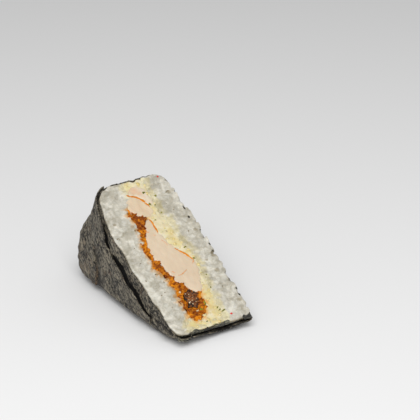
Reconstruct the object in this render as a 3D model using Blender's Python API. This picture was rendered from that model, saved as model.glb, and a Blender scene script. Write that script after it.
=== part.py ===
"""Half of a seaweed-wrapped rice triangle filled with fried chicken and egg.

The triangle was cut in two from its tip to the middle of its base. The half lies on its slanted
side, so the cut face looks up at a slope. +X runs through the thickness, +Y from the tip to the
heel along the floor, +Z is up. Sizes are in millimetres and become metres in place().

A place inside the half is given by three numbers: s along the cut from the tip to the base,
x through the thickness, and q square to the cut face, into the food.
"""
import math

import bmesh
import bpy
import numpy as np
from mathutils import Matrix, Vector, noise

MM = 0.001

# Driving dimensions of the half, mm
CUT_ANGLE = math.radians(28.8)  # slope of the cut face, half the angle of the whole triangle's tip
VERTEX = 9.7  # from the place where the cut plane meets the floor to s = 0
SEAWEED = 0.9  # wrap, two or three dry layers
GAP = 0.3  # left between neighbours
TIP = -2.0  # s of the wrap's outside at the tip
RICE_TIP = 0.5  # s of the rice at the tip, behind a hollow fold of the wrap
BASE = 78.1  # s of the wrap's outside at the base
HEEL_RADIUS = 12.5  # rounded corner between the base and the slanted side
END_HALF = 16.9  # half thickness of the wrapped half at its ends
SWELL = 2.1  # more half thickness at the middle
SWELL_SPAN = (-6.0, 84.0)  # s between which it swells
DEEP_SLIM = 1.9  # less half thickness at the depth of the heel
HEEL_DEPTH = 40.0
LEFT_DRAW, LEFT_DRAW_FROM, LEFT_DRAW_OVER = 1.8, 58.0, 14.0  # less on the -X side near the base
LEFT_DRAW_DEPTH = (8.0, 24.0)  # q over which that dies away; the heel bulges out
BASE_DRAW = 1.3  # how far the base draws in towards the -X side
EDGE_ROUND = ((4.5, 5.5, 6.5, 9.0), (2.2, 4.0, 5.5, 6.5))  # rounding of the -X and the +X edges:
# tip, slanted side, heel, base
TIP_LIFT = 1.7  # how far the underside of the tip is curled up off the floor
TIP_LIFT_SPAN = (8.5, 19.0)  # y over which the lift dies away
TWIST = 1.2  # how far the cut face climbs at the base end of the +X side
TWIST_DEPTH = 18.0  # q where the climb has died away
RIPPLE, RIPPLE_LENGTH = 0.55, 9.0  # unevenness of the skin
RIPPLE_STARTS = ((0.0, 0.0, 0.0), (31.4, 15.9, 26.5), (58.9, 79.3, 23.8))  # for s, x and q
RIPPLE_RISE = (1.5, 6.5)  # heights above the floor between which it comes in
BUMP_BASE, BUMP, BUMP_LENGTH = 0.25, 0.3, 3.1  # how the rice stands above the cut plane

# Mesh spacing
PATH_STEPS = (6, 11, 8, 8)  # tip, slanted side, heel, base
FACE_ROWS = 4
EDGE_ROWS = 3
RIM_ROWS = 4
FOOT_IN = (5.0, 11.0)  # first and last step of the flat face, in from the tip and the base
SETTLE_ROUNDS = 400

SIN, COS, TAN = math.sin(CUT_ANGLE), math.cos(CUT_ANGLE), math.tan(CUT_ANGLE)
FLOOR_TURN = math.pi / 2 - CUT_ANGLE


# ---------------------------------------------------------------- places and outlines

def height(s, q):
    """Height above the floor of a place in the half."""
    return (s + VERTEX) * SIN - q * COS


def place(s, x, q):
    """World position, in metres; the cut face climbs a little towards one corner, and the
    underside of the tip is lifted."""
    fade = max(0.0, 1.0 - max(q, 0.0) / TWIST_DEPTH)
    q -= TWIST * max(0.0, x / END_HALF) * max(0.0, s / BASE) * fade
    y, z = (s + VERTEX) * COS + q * SIN, height(s, q)
    lift = TIP_LIFT * smooth((TIP_LIFT_SPAN[1] - y) / (TIP_LIFT_SPAN[1] - TIP_LIFT_SPAN[0]))
    if lift:
        z += lift * max(0.0, 1.0 - z / (y * TAN))
    return Vector((x, y, z)) * MM


def smooth(t):
    """Ease from 0 to 1."""
    t = min(1.0, max(0.0, t))
    return t * t * (3.0 - 2.0 * t)


def half_thickness(side, s, q):
    """Outside of the wrap on one side, -1 or 1, from the middle plane."""
    along = min(1.0, max(0.0, (s - SWELL_SPAN[0]) / (SWELL_SPAN[1] - SWELL_SPAN[0])))
    swell = SWELL * math.sin(math.pi * along) ** 0.8
    fade = 1.0 - smooth((q - LEFT_DRAW_DEPTH[0]) / (LEFT_DRAW_DEPTH[1] - LEFT_DRAW_DEPTH[0]))
    draw = LEFT_DRAW * smooth((s - LEFT_DRAW_FROM) / LEFT_DRAW_OVER) * fade if side < 0 else 0.0
    return END_HALF + swell - draw - DEEP_SLIM * (q / HEEL_DEPTH) ** 2


def side_path(tip, base, floor, heel):
    """The side of the half from the tip to the base end of the cut: (s, q), outward normal and
    the rounding of both edges for each step. It is an arc round the tip, the slanted side, an arc
    round the heel and the base."""
    tip_radius = ((tip + VERTEX) * SIN - floor) / (1.0 - SIN)
    tip_centre = (tip + tip_radius, 0.0)
    heel_s = base - heel
    heel_centre = (heel_s, ((heel_s + VERTEX) * SIN - floor - heel) / COS)

    def arc(centre, radius, turn):
        out = (-math.cos(turn), math.sin(turn))
        return (centre[0] + radius * out[0], centre[1] + radius * out[1]), out

    path = []
    for part, steps in enumerate(PATH_STEPS):
        for step in range(steps + (part == 3)):
            t = step / steps
            if part == 0:
                point, out = arc(tip_centre, tip_radius, t * FLOOR_TURN)
            elif part == 1:
                start, out = arc(tip_centre, tip_radius, FLOOR_TURN)
                end, _ = arc(heel_centre, heel, FLOOR_TURN)
                point = (start[0] + (end[0] - start[0]) * t, start[1] + (end[1] - start[1]) * t)
            elif part == 2:
                turn = FLOOR_TURN + (math.pi - FLOOR_TURN) * t
                point, out = arc(heel_centre, heel, turn)
            else:
                point, out = (base, heel_centre[1] * (1.0 - t)), (1.0, 0.0)
            last = min(part + 1, 3)
            rounds = [edge[part] + (edge[last] - edge[part]) * t for edge in EDGE_ROUND]
            path.append((point, out, rounds))
    return path


def ripple(s, x, q):
    """Unevenness of the surface, none where it rests on the floor, and the base drawn in."""
    rise = smooth((height(s, q) - RIPPLE_RISE[0]) / (RIPPLE_RISE[1] - RIPPLE_RISE[0]))
    spot = Vector((s, x, q)) / RIPPLE_LENGTH
    wave = [noise.noise(spot + Vector(start)) * RIPPLE * rise for start in RIPPLE_STARTS]
    draw = BASE_DRAW * smooth((2.0 - x) / 18.0) * smooth((s - 50.0) / 25.0) * rise
    return s - draw + wave[0], x + wave[1], q + wave[2] * smooth(q / RIPPLE_LENGTH)


def skin_rows():
    """Rows across the skin from the cut on the -X side, over the rim, to the cut on the +X side.
    Each is (side, share of the flat face, turn over the edge, share of the rim's width)."""
    face = [(k / FACE_ROWS, 0.0, 1.0) for k in range(FACE_ROWS)]
    edge = [(1.0, math.pi / 2 * k / EDGE_ROWS, 1.0) for k in range(EDGE_ROWS + 1)]
    rim = [(1.0, math.pi / 2, 1.0 - 2.0 * k / RIM_ROWS) for k in range(1, RIM_ROWS)]
    left = [(-1.0, *row) for row in face + edge]
    across = [(-1.0, *row) for row in rim]
    right = [(1.0, *row) for row in reversed(face + edge)]
    return left + across + right


def skin_point(path, column, row, inward):
    """A place on the skin, set inward from the wrap's outside by a distance."""
    (s, q), out, rounds = path[column]
    side, share, turn, width = row
    along = column / (len(path) - 1)
    foot = (path[0][0][0] + FOOT_IN[0]) * (1.0 - along) + (path[-1][0][0] - FOOT_IN[1]) * along
    near, far = [max(0.5, rounds[k > 0] - inward) for k in (side, -side)]
    s0, q0 = s - out[0] * near, q - out[1] * near
    if share < 1.0:
        s1, q1 = foot + (s0 - foot) * share, q0 * share
        return s1, side * (half_thickness(side, s1, q1) - inward), q1
    reach = near * math.sin(turn)
    x = side * (half_thickness(side, s0, q0) - inward - near + near * math.cos(turn))
    other = -side * (half_thickness(-side, s - out[0] * far, q - out[1] * far) - inward - far)
    return s0 + out[0] * reach, other + (x - other) * (1.0 + width) / 2.0, q0 + out[1] * reach


def skin_grid(inward, tip, base):
    """Rows of places over the whole skin, from the cut round to the cut."""
    path = side_path(tip, base, inward, HEEL_RADIUS - inward)
    return [[ripple(*skin_point(path, column, row, inward)) for column in range(len(path))]
            for row in skin_rows()]


# ---------------------------------------------------------------- making solids

def finish(name, rgb, roughness):
    material = bpy.data.materials.new(name)
    material.use_nodes = True
    shader = material.node_tree.nodes["Principled BSDF"]
    shader.inputs["Base Color"].default_value = (*rgb, 1.0)
    shader.inputs["Roughness"].default_value = roughness
    shader.inputs["Metallic"].default_value = 0.0
    return material


def make_object(name, points, faces, material=None):
    """A closed solid from points and faces; points that no face uses are dropped."""
    mesh = bpy.data.meshes.new(name)
    mesh.from_pydata(points, [], faces)
    form = bmesh.new()
    form.from_mesh(mesh)
    bmesh.ops.delete(form, geom=[v for v in form.verts if not v.link_faces], context="VERTS")
    bmesh.ops.recalc_face_normals(form, faces=form.faces)
    form.to_mesh(mesh)
    form.free()
    made = bpy.data.objects.new(name, mesh)
    bpy.context.scene.collection.objects.link(made)
    if material:
        mesh.materials.append(material)
        mesh.shade_smooth()
        mesh.set_sharp_from_angle(angle=math.radians(40))
    return made


def hide_tool(tool):
    tool.hide_render = True
    tool.display_type = "WIRE"


def cut_away(target, tools):
    """Cut all of the tools out of the target at once."""
    group = bpy.data.collections.new(target.name + "_tools")
    for tool in tools:
        group.objects.link(tool)
    modifier = target.modifiers.new("Room", "BOOLEAN")
    modifier.operation = "DIFFERENCE"
    modifier.solver = "EXACT"
    modifier.operand_type = "COLLECTION"
    modifier.collection = group


def grid_faces(rows, columns, start=0, flip=False):
    """Faces of a grid. A corner cell is split from its corner, because the two edges that meet
    there may lie on one straight line."""
    faces = []
    for r in range(rows - 1):
        for c in range(columns - 1):
            a = start + r * columns + c
            cell = (a, a + 1, a + columns + 1, a + columns)
            low = r == 0 and c == 0
            high = r == rows - 2 and c == columns - 2
            mixed = (r == 0 and c == columns - 2) or (r == rows - 2 and c == 0)
            if low or high:
                split = [(cell[0], cell[1], cell[2]), (cell[0], cell[2], cell[3])]
            elif mixed:
                split = [(cell[1], cell[2], cell[3]), (cell[1], cell[3], cell[0])]
            else:
                split = [cell]
            faces += [face[::-1] if flip else face for face in split]
    return faces


def border(rows, columns):
    """The indices round the edge of a grid, in order."""
    top = [c for c in range(columns)]
    last = [r * columns + columns - 1 for r in range(1, rows)]
    bottom = [(rows - 1) * columns + c for c in range(columns - 2, -1, -1)]
    first = [r * columns for r in range(rows - 2, 0, -1)]
    return top + last + bottom + first


def sheet_solid(name, outer, inner, material):
    """A closed sheet between two grids of places that match."""
    rows, columns = len(outer), len(outer[0])
    count = rows * columns
    points = [place(*p) for grid in (outer, inner) for line in grid for p in line]
    faces = grid_faces(rows, columns, 0) + grid_faces(rows, columns, count, flip=True)
    loop = border(rows, columns)
    for a, b in zip(loop, loop[1:] + loop[:1]):
        faces.append((b, a, a + count, b + count))
    return make_object(name, points, faces, material)


def centre_over_origin():
    """Shift every solid so that the box of those that show stands centred on the origin."""
    shown = [o for o in bpy.data.objects if not o.hide_render]
    spots = np.array([v.co for o in shown for v in o.data.vertices])
    middle = (spots.min(axis=0) + spots.max(axis=0)) / 2.0
    shift = Matrix.Translation((-middle[0], -middle[1], 0.0))
    for o in bpy.data.objects:
        o.data.transform(shift)


# ---------------------------------------------------------------- rice and wrap

def cut_face(skin):
    """Places over the cut: the edge is the skin's own, the inside is spread evenly by letting
    each place settle between its neighbours, and small bumps stand on it."""
    grid = np.array(skin)
    across = np.linspace(0.0, 1.0, len(skin))[:, None, None]
    grid[1:-1, 1:-1] = (grid[:1] + (grid[-1:] - grid[:1]) * across)[1:-1, 1:-1]
    for _ in range(SETTLE_ROUNDS):
        around = grid[:-2, 1:-1] + grid[2:, 1:-1] + grid[1:-1, :-2] + grid[1:-1, 2:]
        grid[1:-1, 1:-1] = around / 4.0
    for line in grid[1:-1]:
        for spot in line[1:-1]:
            lump = noise.noise(Vector((spot[0], spot[1], 0.0)) / BUMP_LENGTH)
            spot[2] = -BUMP_BASE - BUMP * lump
    return grid.tolist()


def rice_block(name, material=None):
    """The rice out to its skin and the cut, before the filling is let in."""
    skin = skin_grid(SEAWEED + GAP, RICE_TIP, BASE - SEAWEED - GAP)
    top = cut_face(skin)
    rows, columns = len(skin), len(skin[0])
    count = rows * columns
    points = [place(*p) for grid in (skin, top) for line in grid for p in line]
    faces = grid_faces(rows, columns, 0)
    loop = set(border(rows, columns))
    for face in grid_faces(rows, columns, count, flip=True):
        faces.append(tuple(i - count if i - count in loop else i for i in face))
    return make_object(name, points, faces, material)


def seaweed_wrap(material):
    outer = skin_grid(0.0, TIP, BASE)
    inner = skin_grid(SEAWEED, TIP + SEAWEED, BASE - SEAWEED)
    return sheet_solid("seaweed_wrap", outer, inner, material)


# ---------------------------------------------------------------- seaweed flap and tucked fold

FLAP_EDGE = ((76.5, 1.0), (66.0, 0.8), (59.5, 0.8), (57.0, 1.6), (55.0, 3.2), (53.0, 5.4),
             (50.5, 6.8), (46.0, 6.2), (39.0, 5.5), (33.5, 6.5), (29.0, 6.1), (24.0, 6.4),
             (18.0, 6.2), (14.5, 5.6))  # (s, q), base to tip
FLAP_THICK = 0.5
FLAP_GAP = 0.5  # it lies loosely on the wrap
FLAP_ROWS = 7
FLAP_FIRST = 8  # first step of the side path that the flap reaches
FLAP_PUFF = 0.2  # how far its middle stands off more
FLAP_WRAP = (17, 8.0)  # step where it starts to wrap round the edge, and over how many
FLAP_TURN = (22, 58)  # degrees over the edge along the floor, and more round the heel
SEARCH_STEPS = 60
LONG_GAP = (0.6, 31.0, 15.0)  # lift, s of its middle, half length
SHORT_GAP = (0.5, 57.0, 3.5)
SHUT_GAP = 0.1


def flap_edge_depth(s):
    """How far below the cut the flap's free edge lies, at s."""
    if s >= FLAP_EDGE[0][0]:
        return FLAP_EDGE[0][1]
    for (s1, q1), (s0, q0) in zip(FLAP_EDGE, FLAP_EDGE[1:]):
        if s0 <= s <= s1:
            return q0 + (q1 - q0) * (s - s0) / (s1 - s0)
    return FLAP_EDGE[-1][1]


def flap_lift(s):
    """How far the free edge stands off: open over the long stretch and near the base end, shut
    where the sheet is pinched at its corner and at its end."""
    long_gap = LONG_GAP[0] * math.exp(-((s - LONG_GAP[1]) / LONG_GAP[2]) ** 4)
    short_gap = SHORT_GAP[0] * math.exp(-((s - SHORT_GAP[1]) / SHORT_GAP[2]) ** 2)
    return long_gap + short_gap + SHUT_GAP


def flap_grid(path, stand_off):
    """Places over the flap; the first row is its free edge."""
    grid = [[] for _ in range(FLAP_ROWS + EDGE_ROWS + 1)]
    for column in range(FLAP_FIRST, len(path)):
        face = [skin_point(path, column, (-1.0, k / SEARCH_STEPS, 0.0, 1.0), 0.0)
                for k in range(SEARCH_STEPS)]
        below = [k for k, p in enumerate(face) if p[2] >= flap_edge_depth(p[0])]
        first = below[0] if below else SEARCH_STEPS - 1
        start, lift = first / SEARCH_STEPS, flap_lift(face[first][0])
        wrapped = smooth((column - FLAP_WRAP[0]) / FLAP_WRAP[1])
        last_turn = math.radians(FLAP_TURN[0] + FLAP_TURN[1] * wrapped)
        out = path[column][1]
        for row, line in enumerate(grid):
            v = min(1.0, row / FLAP_ROWS)
            share = start + (1.0 - start) * v
            turn = last_turn * max(0, row - FLAP_ROWS) / EDGE_ROWS
            s, x, q = ripple(*skin_point(path, column, (-1.0, share, turn, 1.0), 0.0))
            off = stand_off + lift * (1.0 - v) ** 1.5 + FLAP_PUFF * math.sin(math.pi * v)
            sideways = off * math.sin(turn)
            line.append((s + out[0] * sideways, x - off * math.cos(turn), q + out[1] * sideways))
    return grid


def seaweed_flap(material):
    path = side_path(TIP, BASE, 0.0, HEEL_RADIUS)
    outer = flap_grid(path, FLAP_GAP + FLAP_THICK)
    inner = flap_grid(path, FLAP_GAP)
    return sheet_solid("seaweed_flap", outer, inner, material)


TUCK_FROM, TUCK_TO = -13.4, 6.4  # x of the tucked fold
TUCK_THICK = 0.5
TUCK_TURN = math.radians(30)
TUCK_ROWS, TUCK_STEPS = 4, 18
TUCK_RISE = 0.7  # how far its edge stands above the cut plane
TUCK_WAVES = ((0.45, 9.5, 0.6), (0.2, 23.0, 0.0))  # height, turns along the fold, start


def tuck_grid(stand_off):
    """Places over the fold that lies against the rice at the tip; its top edge is wavy."""
    rice_radius = ((RICE_TIP + VERTEX) * SIN - SEAWEED - GAP) / (1.0 - SIN)
    centre = RICE_TIP + rice_radius
    radius = rice_radius + GAP + stand_off
    grid = []
    for row in range(-1, TUCK_ROWS + 1):
        line = []
        for step in range(TUCK_STEPS + 1):
            t = step / TUCK_STEPS
            x = TUCK_FROM + (TUCK_TO - TUCK_FROM) * t
            rise = TUCK_RISE + sum(a * math.sin(b * t + c) for a, b, c in TUCK_WAVES)
            turn = TUCK_TURN * max(0, row) / TUCK_ROWS
            q = radius * math.sin(turn) - (rise if row < 0 else 0.0)
            line.append((centre - radius * math.cos(turn), x, q))
        grid.append(line)
    return grid


def seaweed_tuck(material):
    outer, inner = tuck_grid(TUCK_THICK), tuck_grid(0.0)
    return sheet_solid("seaweed_tuck", outer[::-1], inner[::-1], material)


# ---------------------------------------------------------------- filling

# Outlines on the cut face, (s, x), each a smooth closed curve through its points
CHICKEN_TIP = ((70.6, -2.2), (73.4, 0.6), (73.6, 4.0), (70.6, 6.0), (65.8, 6.3), (63.4, 5.6),
               (64.6, 4.2), (67.8, 2.6), (69.8, 0.4))
CHICKEN_UPPER = ((69.4, -2.8), (69.0, -0.2), (66.8, 1.8), (63.6, 3.6), (60.4, 4.2), (58.2, 3.0),
                 (58.0, 0.4), (59.6, -3.0), (62.0, -5.0), (65.6, -5.2), (68.0, -4.4))
CHICKEN_MAIN = ((56.8, -0.2), (53.4, 0.8), (49.4, 1.2), (43.6, 2.2), (39.8, 4.0), (36.2, 6.4),
                (32.4, 8.2), (28.0, 7.8), (23.0, 6.2), (18.6, 4.4), (17.0, 2.6), (18.8, 0.2),
                (22.6, -2.4), (27.0, -4.6), (31.6, -5.2), (35.0, -6.0), (39.0, -7.4),
                (43.0, -6.8), (47.6, -5.2), (52.4, -3.4))
CRUMB_COAT = ((63.6, -6.2), (61.8, -3.2), (57.6, 0.2), (54.6, 0.2), (50.0, -2.0), (43.0, -4.0),
              (36.0, -3.0), (28.0, -2.0), (22.0, 0.0), (17.0, 2.4), (12.0, 2.2), (8.0, 0.8),
              (5.0, -2.2), (4.0, -5.2), (6.4, -7.2), (12.0, -7.6), (18.0, -7.0), (23.0, -7.4),
              (28.4, -8.2), (33.2, -10.0), (36.4, -8.8), (41.6, -9.8), (46.4, -8.4),
              (52.0, -6.0), (57.0, -6.4), (61.0, -7.0))
SAUCE_LUMP = ((18.2, -3.0), (17.0, -0.6), (13.6, 0.2), (11.2, -1.6), (10.4, -4.0), (12.6, -5.8),
              (16.2, -5.4))
EGG_SALAD = ((82.0, 1.0), (82.0, 6.0), (74.0, 7.6), (68.0, 7.2), (62.0, 6.8), (57.0, 7.0),
             (52.0, 7.8), (47.0, 7.6), (41.0, 8.6), (35.0, 9.6), (29.0, 9.2), (22.0, 8.0),
             (14.0, 7.2), (8.0, 6.8), (3.0, 6.2), (-6.0, 3.5), (-6.0, -8.5), (2.2, -11.2),
             (4.6, -9.0), (7.2, -5.0), (12.0, -2.6), (20.0, 1.0), (30.0, 2.0), (40.0, -1.0),
             (49.0, -1.0), (57.0, -1.6), (61.0, -1.4), (67.0, -1.4), (72.0, -2.2))

FILLING_SHARE = 0.6  # how much of the rice's depth the filling takes
FILLING_SLOPE = 1.4  # wrap and rice below it that stay clear, mm
FILLING_LEAST = 2.0
FILLING_MIDDLE = 36.0  # s that it draws in towards
FILLING_TAPER = 0.14  # how much it draws in on the way
FILLING_PROUD = 0.3  # how far it stands above the cut plane, level with the rice
FILLING_ENDS = (0.9, 76.5)  # s of its ends, flush with the rice
GROW = 0.36  # room round a filling piece in its neighbours
ROOM_ABOVE = 2.0  # how far the rooms reach above the cut plane
CURVE_STEPS = 2  # steps between two points of an outline


def closed_curve(points, per_span):
    """A smooth closed curve through the points (Catmull-Rom)."""
    count = len(points)
    curve = []
    for i in range(count):
        a, b, c, d = (Vector(points[(i + k - 1) % count]) for k in range(4))
        for step in range(per_span):
            t = step / per_span
            line = 2.0 * b + (c - a) * t
            line += (2.0 * a - 5.0 * b + 4.0 * c - d) * t * t
            line += (3.0 * b - a - 3.0 * c + d) * t ** 3
            curve.append(line * 0.5)
    return curve


def grown(curve, distance):
    """The curve moved outward by a distance."""
    count = len(curve)
    area = sum(a.x * b.y - a.y * b.x for a, b in zip(curve, curve[1:] + curve[:1]))
    turn = 1.0 if area > 0 else -1.0
    moved = []
    for i, point in enumerate(curve):
        along = (curve[(i + 1) % count] - curve[i - 1]).normalized()
        moved.append(point + Vector((along.y, -along.x)) * turn * distance)
    return moved


def filling_place(s, x, share, more):
    """A filling draws in towards the middle as it goes deeper into the food."""
    room = max(FILLING_LEAST, (s + VERTEX) * TAN - FILLING_SLOPE)
    s_in = s + share * (FILLING_MIDDLE - s) * FILLING_TAPER
    x_in = x * (1.0 - share * FILLING_TAPER)
    return place(s_in, x_in, share * room * FILLING_SHARE + more)


def filling_prism(name, outline, deep, grow=0.0, material=None):
    """A piece of filling from the cut down to its depth. A grown one is the room for it, which
    opens above the cut and past both ends of the rice."""
    curve = grown(closed_curve(outline, CURVE_STEPS), grow)
    if not grow:
        for point in curve:
            point.x = min(FILLING_ENDS[1], max(FILLING_ENDS[0], point.x))
    rings = [(0.0, -FILLING_PROUD), (deep * 0.5, 0.0), (deep, grow)]
    if grow:
        rings.insert(0, (0.0, -ROOM_ABOVE))
    count = len(curve)
    points = [filling_place(p.x, p.y, share, more) for share, more in rings for p in curve]
    last = count * (len(rings) - 1)
    faces = [tuple(range(count)), tuple(range(last, last + count))[::-1]]
    for ring in range(len(rings) - 1):
        for i in range(count):
            a, b = ring * count + i, ring * count + (i + 1) % count
            faces.append((a, a + count, b + count, b))
    return make_object(name, points, faces, material)


PIECES = (
    # name, outline, depth share, colour, roughness, names of the pieces it makes room for
    ("chicken_tip", CHICKEN_TIP, 0.86, (0.74, 0.46, 0.30), 0.5, ()),
    ("chicken_upper", CHICKEN_UPPER, 0.93, (0.74, 0.60, 0.45), 0.5, ()),
    ("chicken_main", CHICKEN_MAIN, 1.0, (0.74, 0.60, 0.45), 0.5, ()),
    ("sauce_lump", SAUCE_LUMP, 0.72, (0.12, 0.06, 0.02), 0.6, ()),
    ("crumb_coat", CRUMB_COAT, 0.9, (0.55, 0.17, 0.03), 0.7,
     ("chicken_tip", "chicken_upper", "chicken_main", "sauce_lump")),
    ("egg_salad", EGG_SALAD, 0.8, (0.78, 0.66, 0.36), 0.5,
     ("chicken_tip", "chicken_upper", "chicken_main", "sauce_lump", "crumb_coat")),
)


def main():
    for old in list(bpy.data.objects):
        bpy.data.objects.remove(old)
    seaweed = finish("seaweed", (0.10, 0.09, 0.07), 0.75)
    rice_white = finish("rice_white", (0.62, 0.60, 0.52), 0.55)

    rooms = {}
    for name, outline, deep, *_ in PIECES:
        rooms[name] = filling_prism(name + "_room", outline, deep, grow=GROW)
        hide_tool(rooms[name])
    cut_away(rice_block("rice", rice_white), rooms.values())
    for name, outline, deep, rgb, roughness, others in PIECES:
        piece = filling_prism(name, outline, deep, material=finish(name, rgb, roughness))
        if others:
            cut_away(piece, [rooms[other] for other in others])
    seaweed_wrap(seaweed)
    seaweed_flap(seaweed)
    seaweed_tuck(seaweed)
    centre_over_origin()


main()
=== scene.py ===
import math

import bmesh
import bpy
from mathutils import Matrix, Vector, bvhtree, kdtree, noise


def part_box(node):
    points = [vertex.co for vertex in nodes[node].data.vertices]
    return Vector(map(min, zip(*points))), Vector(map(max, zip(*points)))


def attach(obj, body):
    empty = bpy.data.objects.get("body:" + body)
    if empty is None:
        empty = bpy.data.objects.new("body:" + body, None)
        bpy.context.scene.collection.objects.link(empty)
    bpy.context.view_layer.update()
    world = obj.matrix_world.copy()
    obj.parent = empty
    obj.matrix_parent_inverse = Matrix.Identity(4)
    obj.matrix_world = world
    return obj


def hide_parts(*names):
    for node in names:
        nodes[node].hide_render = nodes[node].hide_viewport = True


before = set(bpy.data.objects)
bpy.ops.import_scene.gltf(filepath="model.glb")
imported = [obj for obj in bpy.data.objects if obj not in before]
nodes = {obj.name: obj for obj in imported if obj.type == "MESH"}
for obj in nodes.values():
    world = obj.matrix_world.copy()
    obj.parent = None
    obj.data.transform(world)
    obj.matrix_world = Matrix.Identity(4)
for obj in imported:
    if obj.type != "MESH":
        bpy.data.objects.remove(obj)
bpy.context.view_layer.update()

# ---- The rice inside: cooked short grains pressed into a block in a mould, with room for the
# filling. This is the block to a little under the cut, out of sight below the sliced grains.
MM = 0.001
CUT_ANGLE = math.radians(28.8)
SIN, COS = math.sin(CUT_ANGLE), math.cos(CUT_ANGLE)
VERTEX = 9.7  # from the line where the cut plane meets the floor to s = 0
TIP, RICE_TIP, BASE = -2.0, 0.5, 78.1
END_HALF = 16.9  # half the thickness at the ends
CLIMB, CLIMB_DEPTH = 1.2, 18.0
WRAP_LEFT, WRAP_TIP = 19.175, 6.698  # from the middle plane and from that line to the wrap
CUT_NORMAL = Vector((0.0, -SIN, COS))
TIP_LIFT, LIFT_FROM, LIFT_OVER = 1.7, 19.0, 10.5  # the tip is thin and curls up off the floor
CORE_TOP = 2.8

wrap_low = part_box("seaweed_wrap")[0]
start = Vector((wrap_low[0] + WRAP_LEFT * MM, wrap_low[1] - WRAP_TIP * MM, 0.0))


def climb(s, x):
    """How far the cut face climbs towards the corner of its base."""
    return CLIMB * max(0.0, x / END_HALF) * max(0.0, s / BASE)


def smooth(t):
    t = min(1.0, max(0.0, t))
    return t * t * (3.0 - 2.0 * t)


def curl(y):
    """How far the underside is lifted, and the height of the cut above the floor there."""
    return TIP_LIFT * smooth((LIFT_FROM - y) / LIFT_OVER), max(0.1, y * SIN / COS)


def place(s, x, q):
    """A place in the half, from mm along the cut, through the thickness and into the food."""
    q -= climb(s, x) * max(0.0, 1.0 - max(q, 0.0) / CLIMB_DEPTH)
    y, z = (s + VERTEX) * COS + q * SIN, (s + VERTEX) * SIN - q * COS
    lift, high = curl(y)
    return start + Vector((x, y, z + lift * max(0.0, 1.0 - z / high))) * MM


def spot(co):
    """The s, x and q of a place near the cut."""
    x, y, z = (co - start) / MM
    lift, high = curl(y)
    if z < high:
        z = (z - lift) / max(0.3, 1.0 - lift / high)
    s, q = y * COS + z * SIN - VERTEX, y * SIN - z * COS
    return s, x, q + climb(s, x)


def lumps(s, x, size, more=0.0):
    return noise.noise(Vector((s / size, x / size, more)))


def link(mesh, name):
    mesh.name = name
    made = bpy.data.objects.new(name, mesh)
    bpy.context.scene.collection.objects.link(made)
    return made


def bake(thing):
    """Turn an object with modifiers into a plain smooth mesh."""
    graph = bpy.context.evaluated_depsgraph_get()
    mesh = bpy.data.meshes.new_from_object(thing.evaluated_get(graph))
    thing.modifiers.clear()
    old, thing.data = thing.data, mesh
    bpy.data.meshes.remove(old)
    mesh.name = thing.name
    mesh.shade_smooth()
    return thing


def closed_copy(node, name, deepest=None):
    """A closed copy of a solid, or of its upper part down to a depth below the cut."""
    copy = link(nodes[node].data.copy(), name)
    form = bmesh.new()
    form.from_mesh(copy.data)
    bmesh.ops.remove_doubles(form, verts=form.verts, dist=1e-6)
    if deepest:
        cut = bmesh.ops.bisect_plane(form, geom=form.verts[:] + form.edges[:] + form.faces[:],
                                     plane_co=place(0.0, 0.0, deepest), plane_no=CUT_NORMAL,
                                     clear_inner=True)
        rim = [edge for edge in cut["geom_cut"] if isinstance(edge, bmesh.types.BMEdge)]
        bmesh.ops.triangle_fill(form, edges=rim, use_beauty=True)
        bmesh.ops.recalc_face_normals(form, faces=form.faces)
    form.to_mesh(copy.data)
    form.free()
    return copy


def evened(thing, voxel, grow=0.0, soften=0):
    """Divide a closed shape evenly, and grow it so that it touches its neighbours."""
    remesh = thing.modifiers.new("Even", "REMESH")
    remesh.mode, remesh.voxel_size = "VOXEL", voxel * MM
    if soften:
        worn = thing.modifiers.new("Soften", "SMOOTH")
        worn.factor, worn.iterations = 0.5, soften
    swell = thing.modifiers.new("Grow", "DISPLACE")
    swell.strength, swell.mid_level = grow * MM, 0.0
    return bake(thing)


def hand_over(piece, material, slot, *stands_for):
    """Give a piece its material and its body, and hide the solids that it stands for; the slot is not used."""
    piece.data.materials.clear()
    piece.data.materials.append(material)
    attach(piece, "root")
    if stands_for:
        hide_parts(*stands_for)


def rgb(r, g, b):
    """A colour on the usual 0 to 255 scale, as linear light."""
    return tuple(((c / 255 + 0.055) / 1.055) ** 2.4 if c > 10 else c / 3294 for c in (r, g, b)) + (1.0,)


def wire(tree, kind, settings=(), **inputs):
    """Add a node, set its properties, and fill its inputs with values or with other sockets."""
    node = tree.nodes.new(kind)
    for key, value in dict(settings).items():
        setattr(node, key, value)
    for key, value in inputs.items():
        socket = node.inputs[int(key[2:]) if key.startswith("at") else key.replace("_", " ")]
        if isinstance(value, bpy.types.NodeSocket):
            tree.links.new(value, socket)
        else:
            socket.default_value = value
    return node


def group_sockets(tree, inputs, outputs):
    for title, kind, value in inputs:
        socket = tree.interface.new_socket(title, in_out="INPUT", socket_type="NodeSocket" + kind)
        socket.default_value = value
    for title, kind in outputs:
        tree.interface.new_socket(title, in_out="OUTPUT", socket_type="NodeSocket" + kind)


def calc(tree, operation, a, b=0.0, clamp=False):
    return wire(tree, "ShaderNodeMath", {"operation": operation, "use_clamp": clamp}, at0=a, at1=b).outputs[0]


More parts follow.
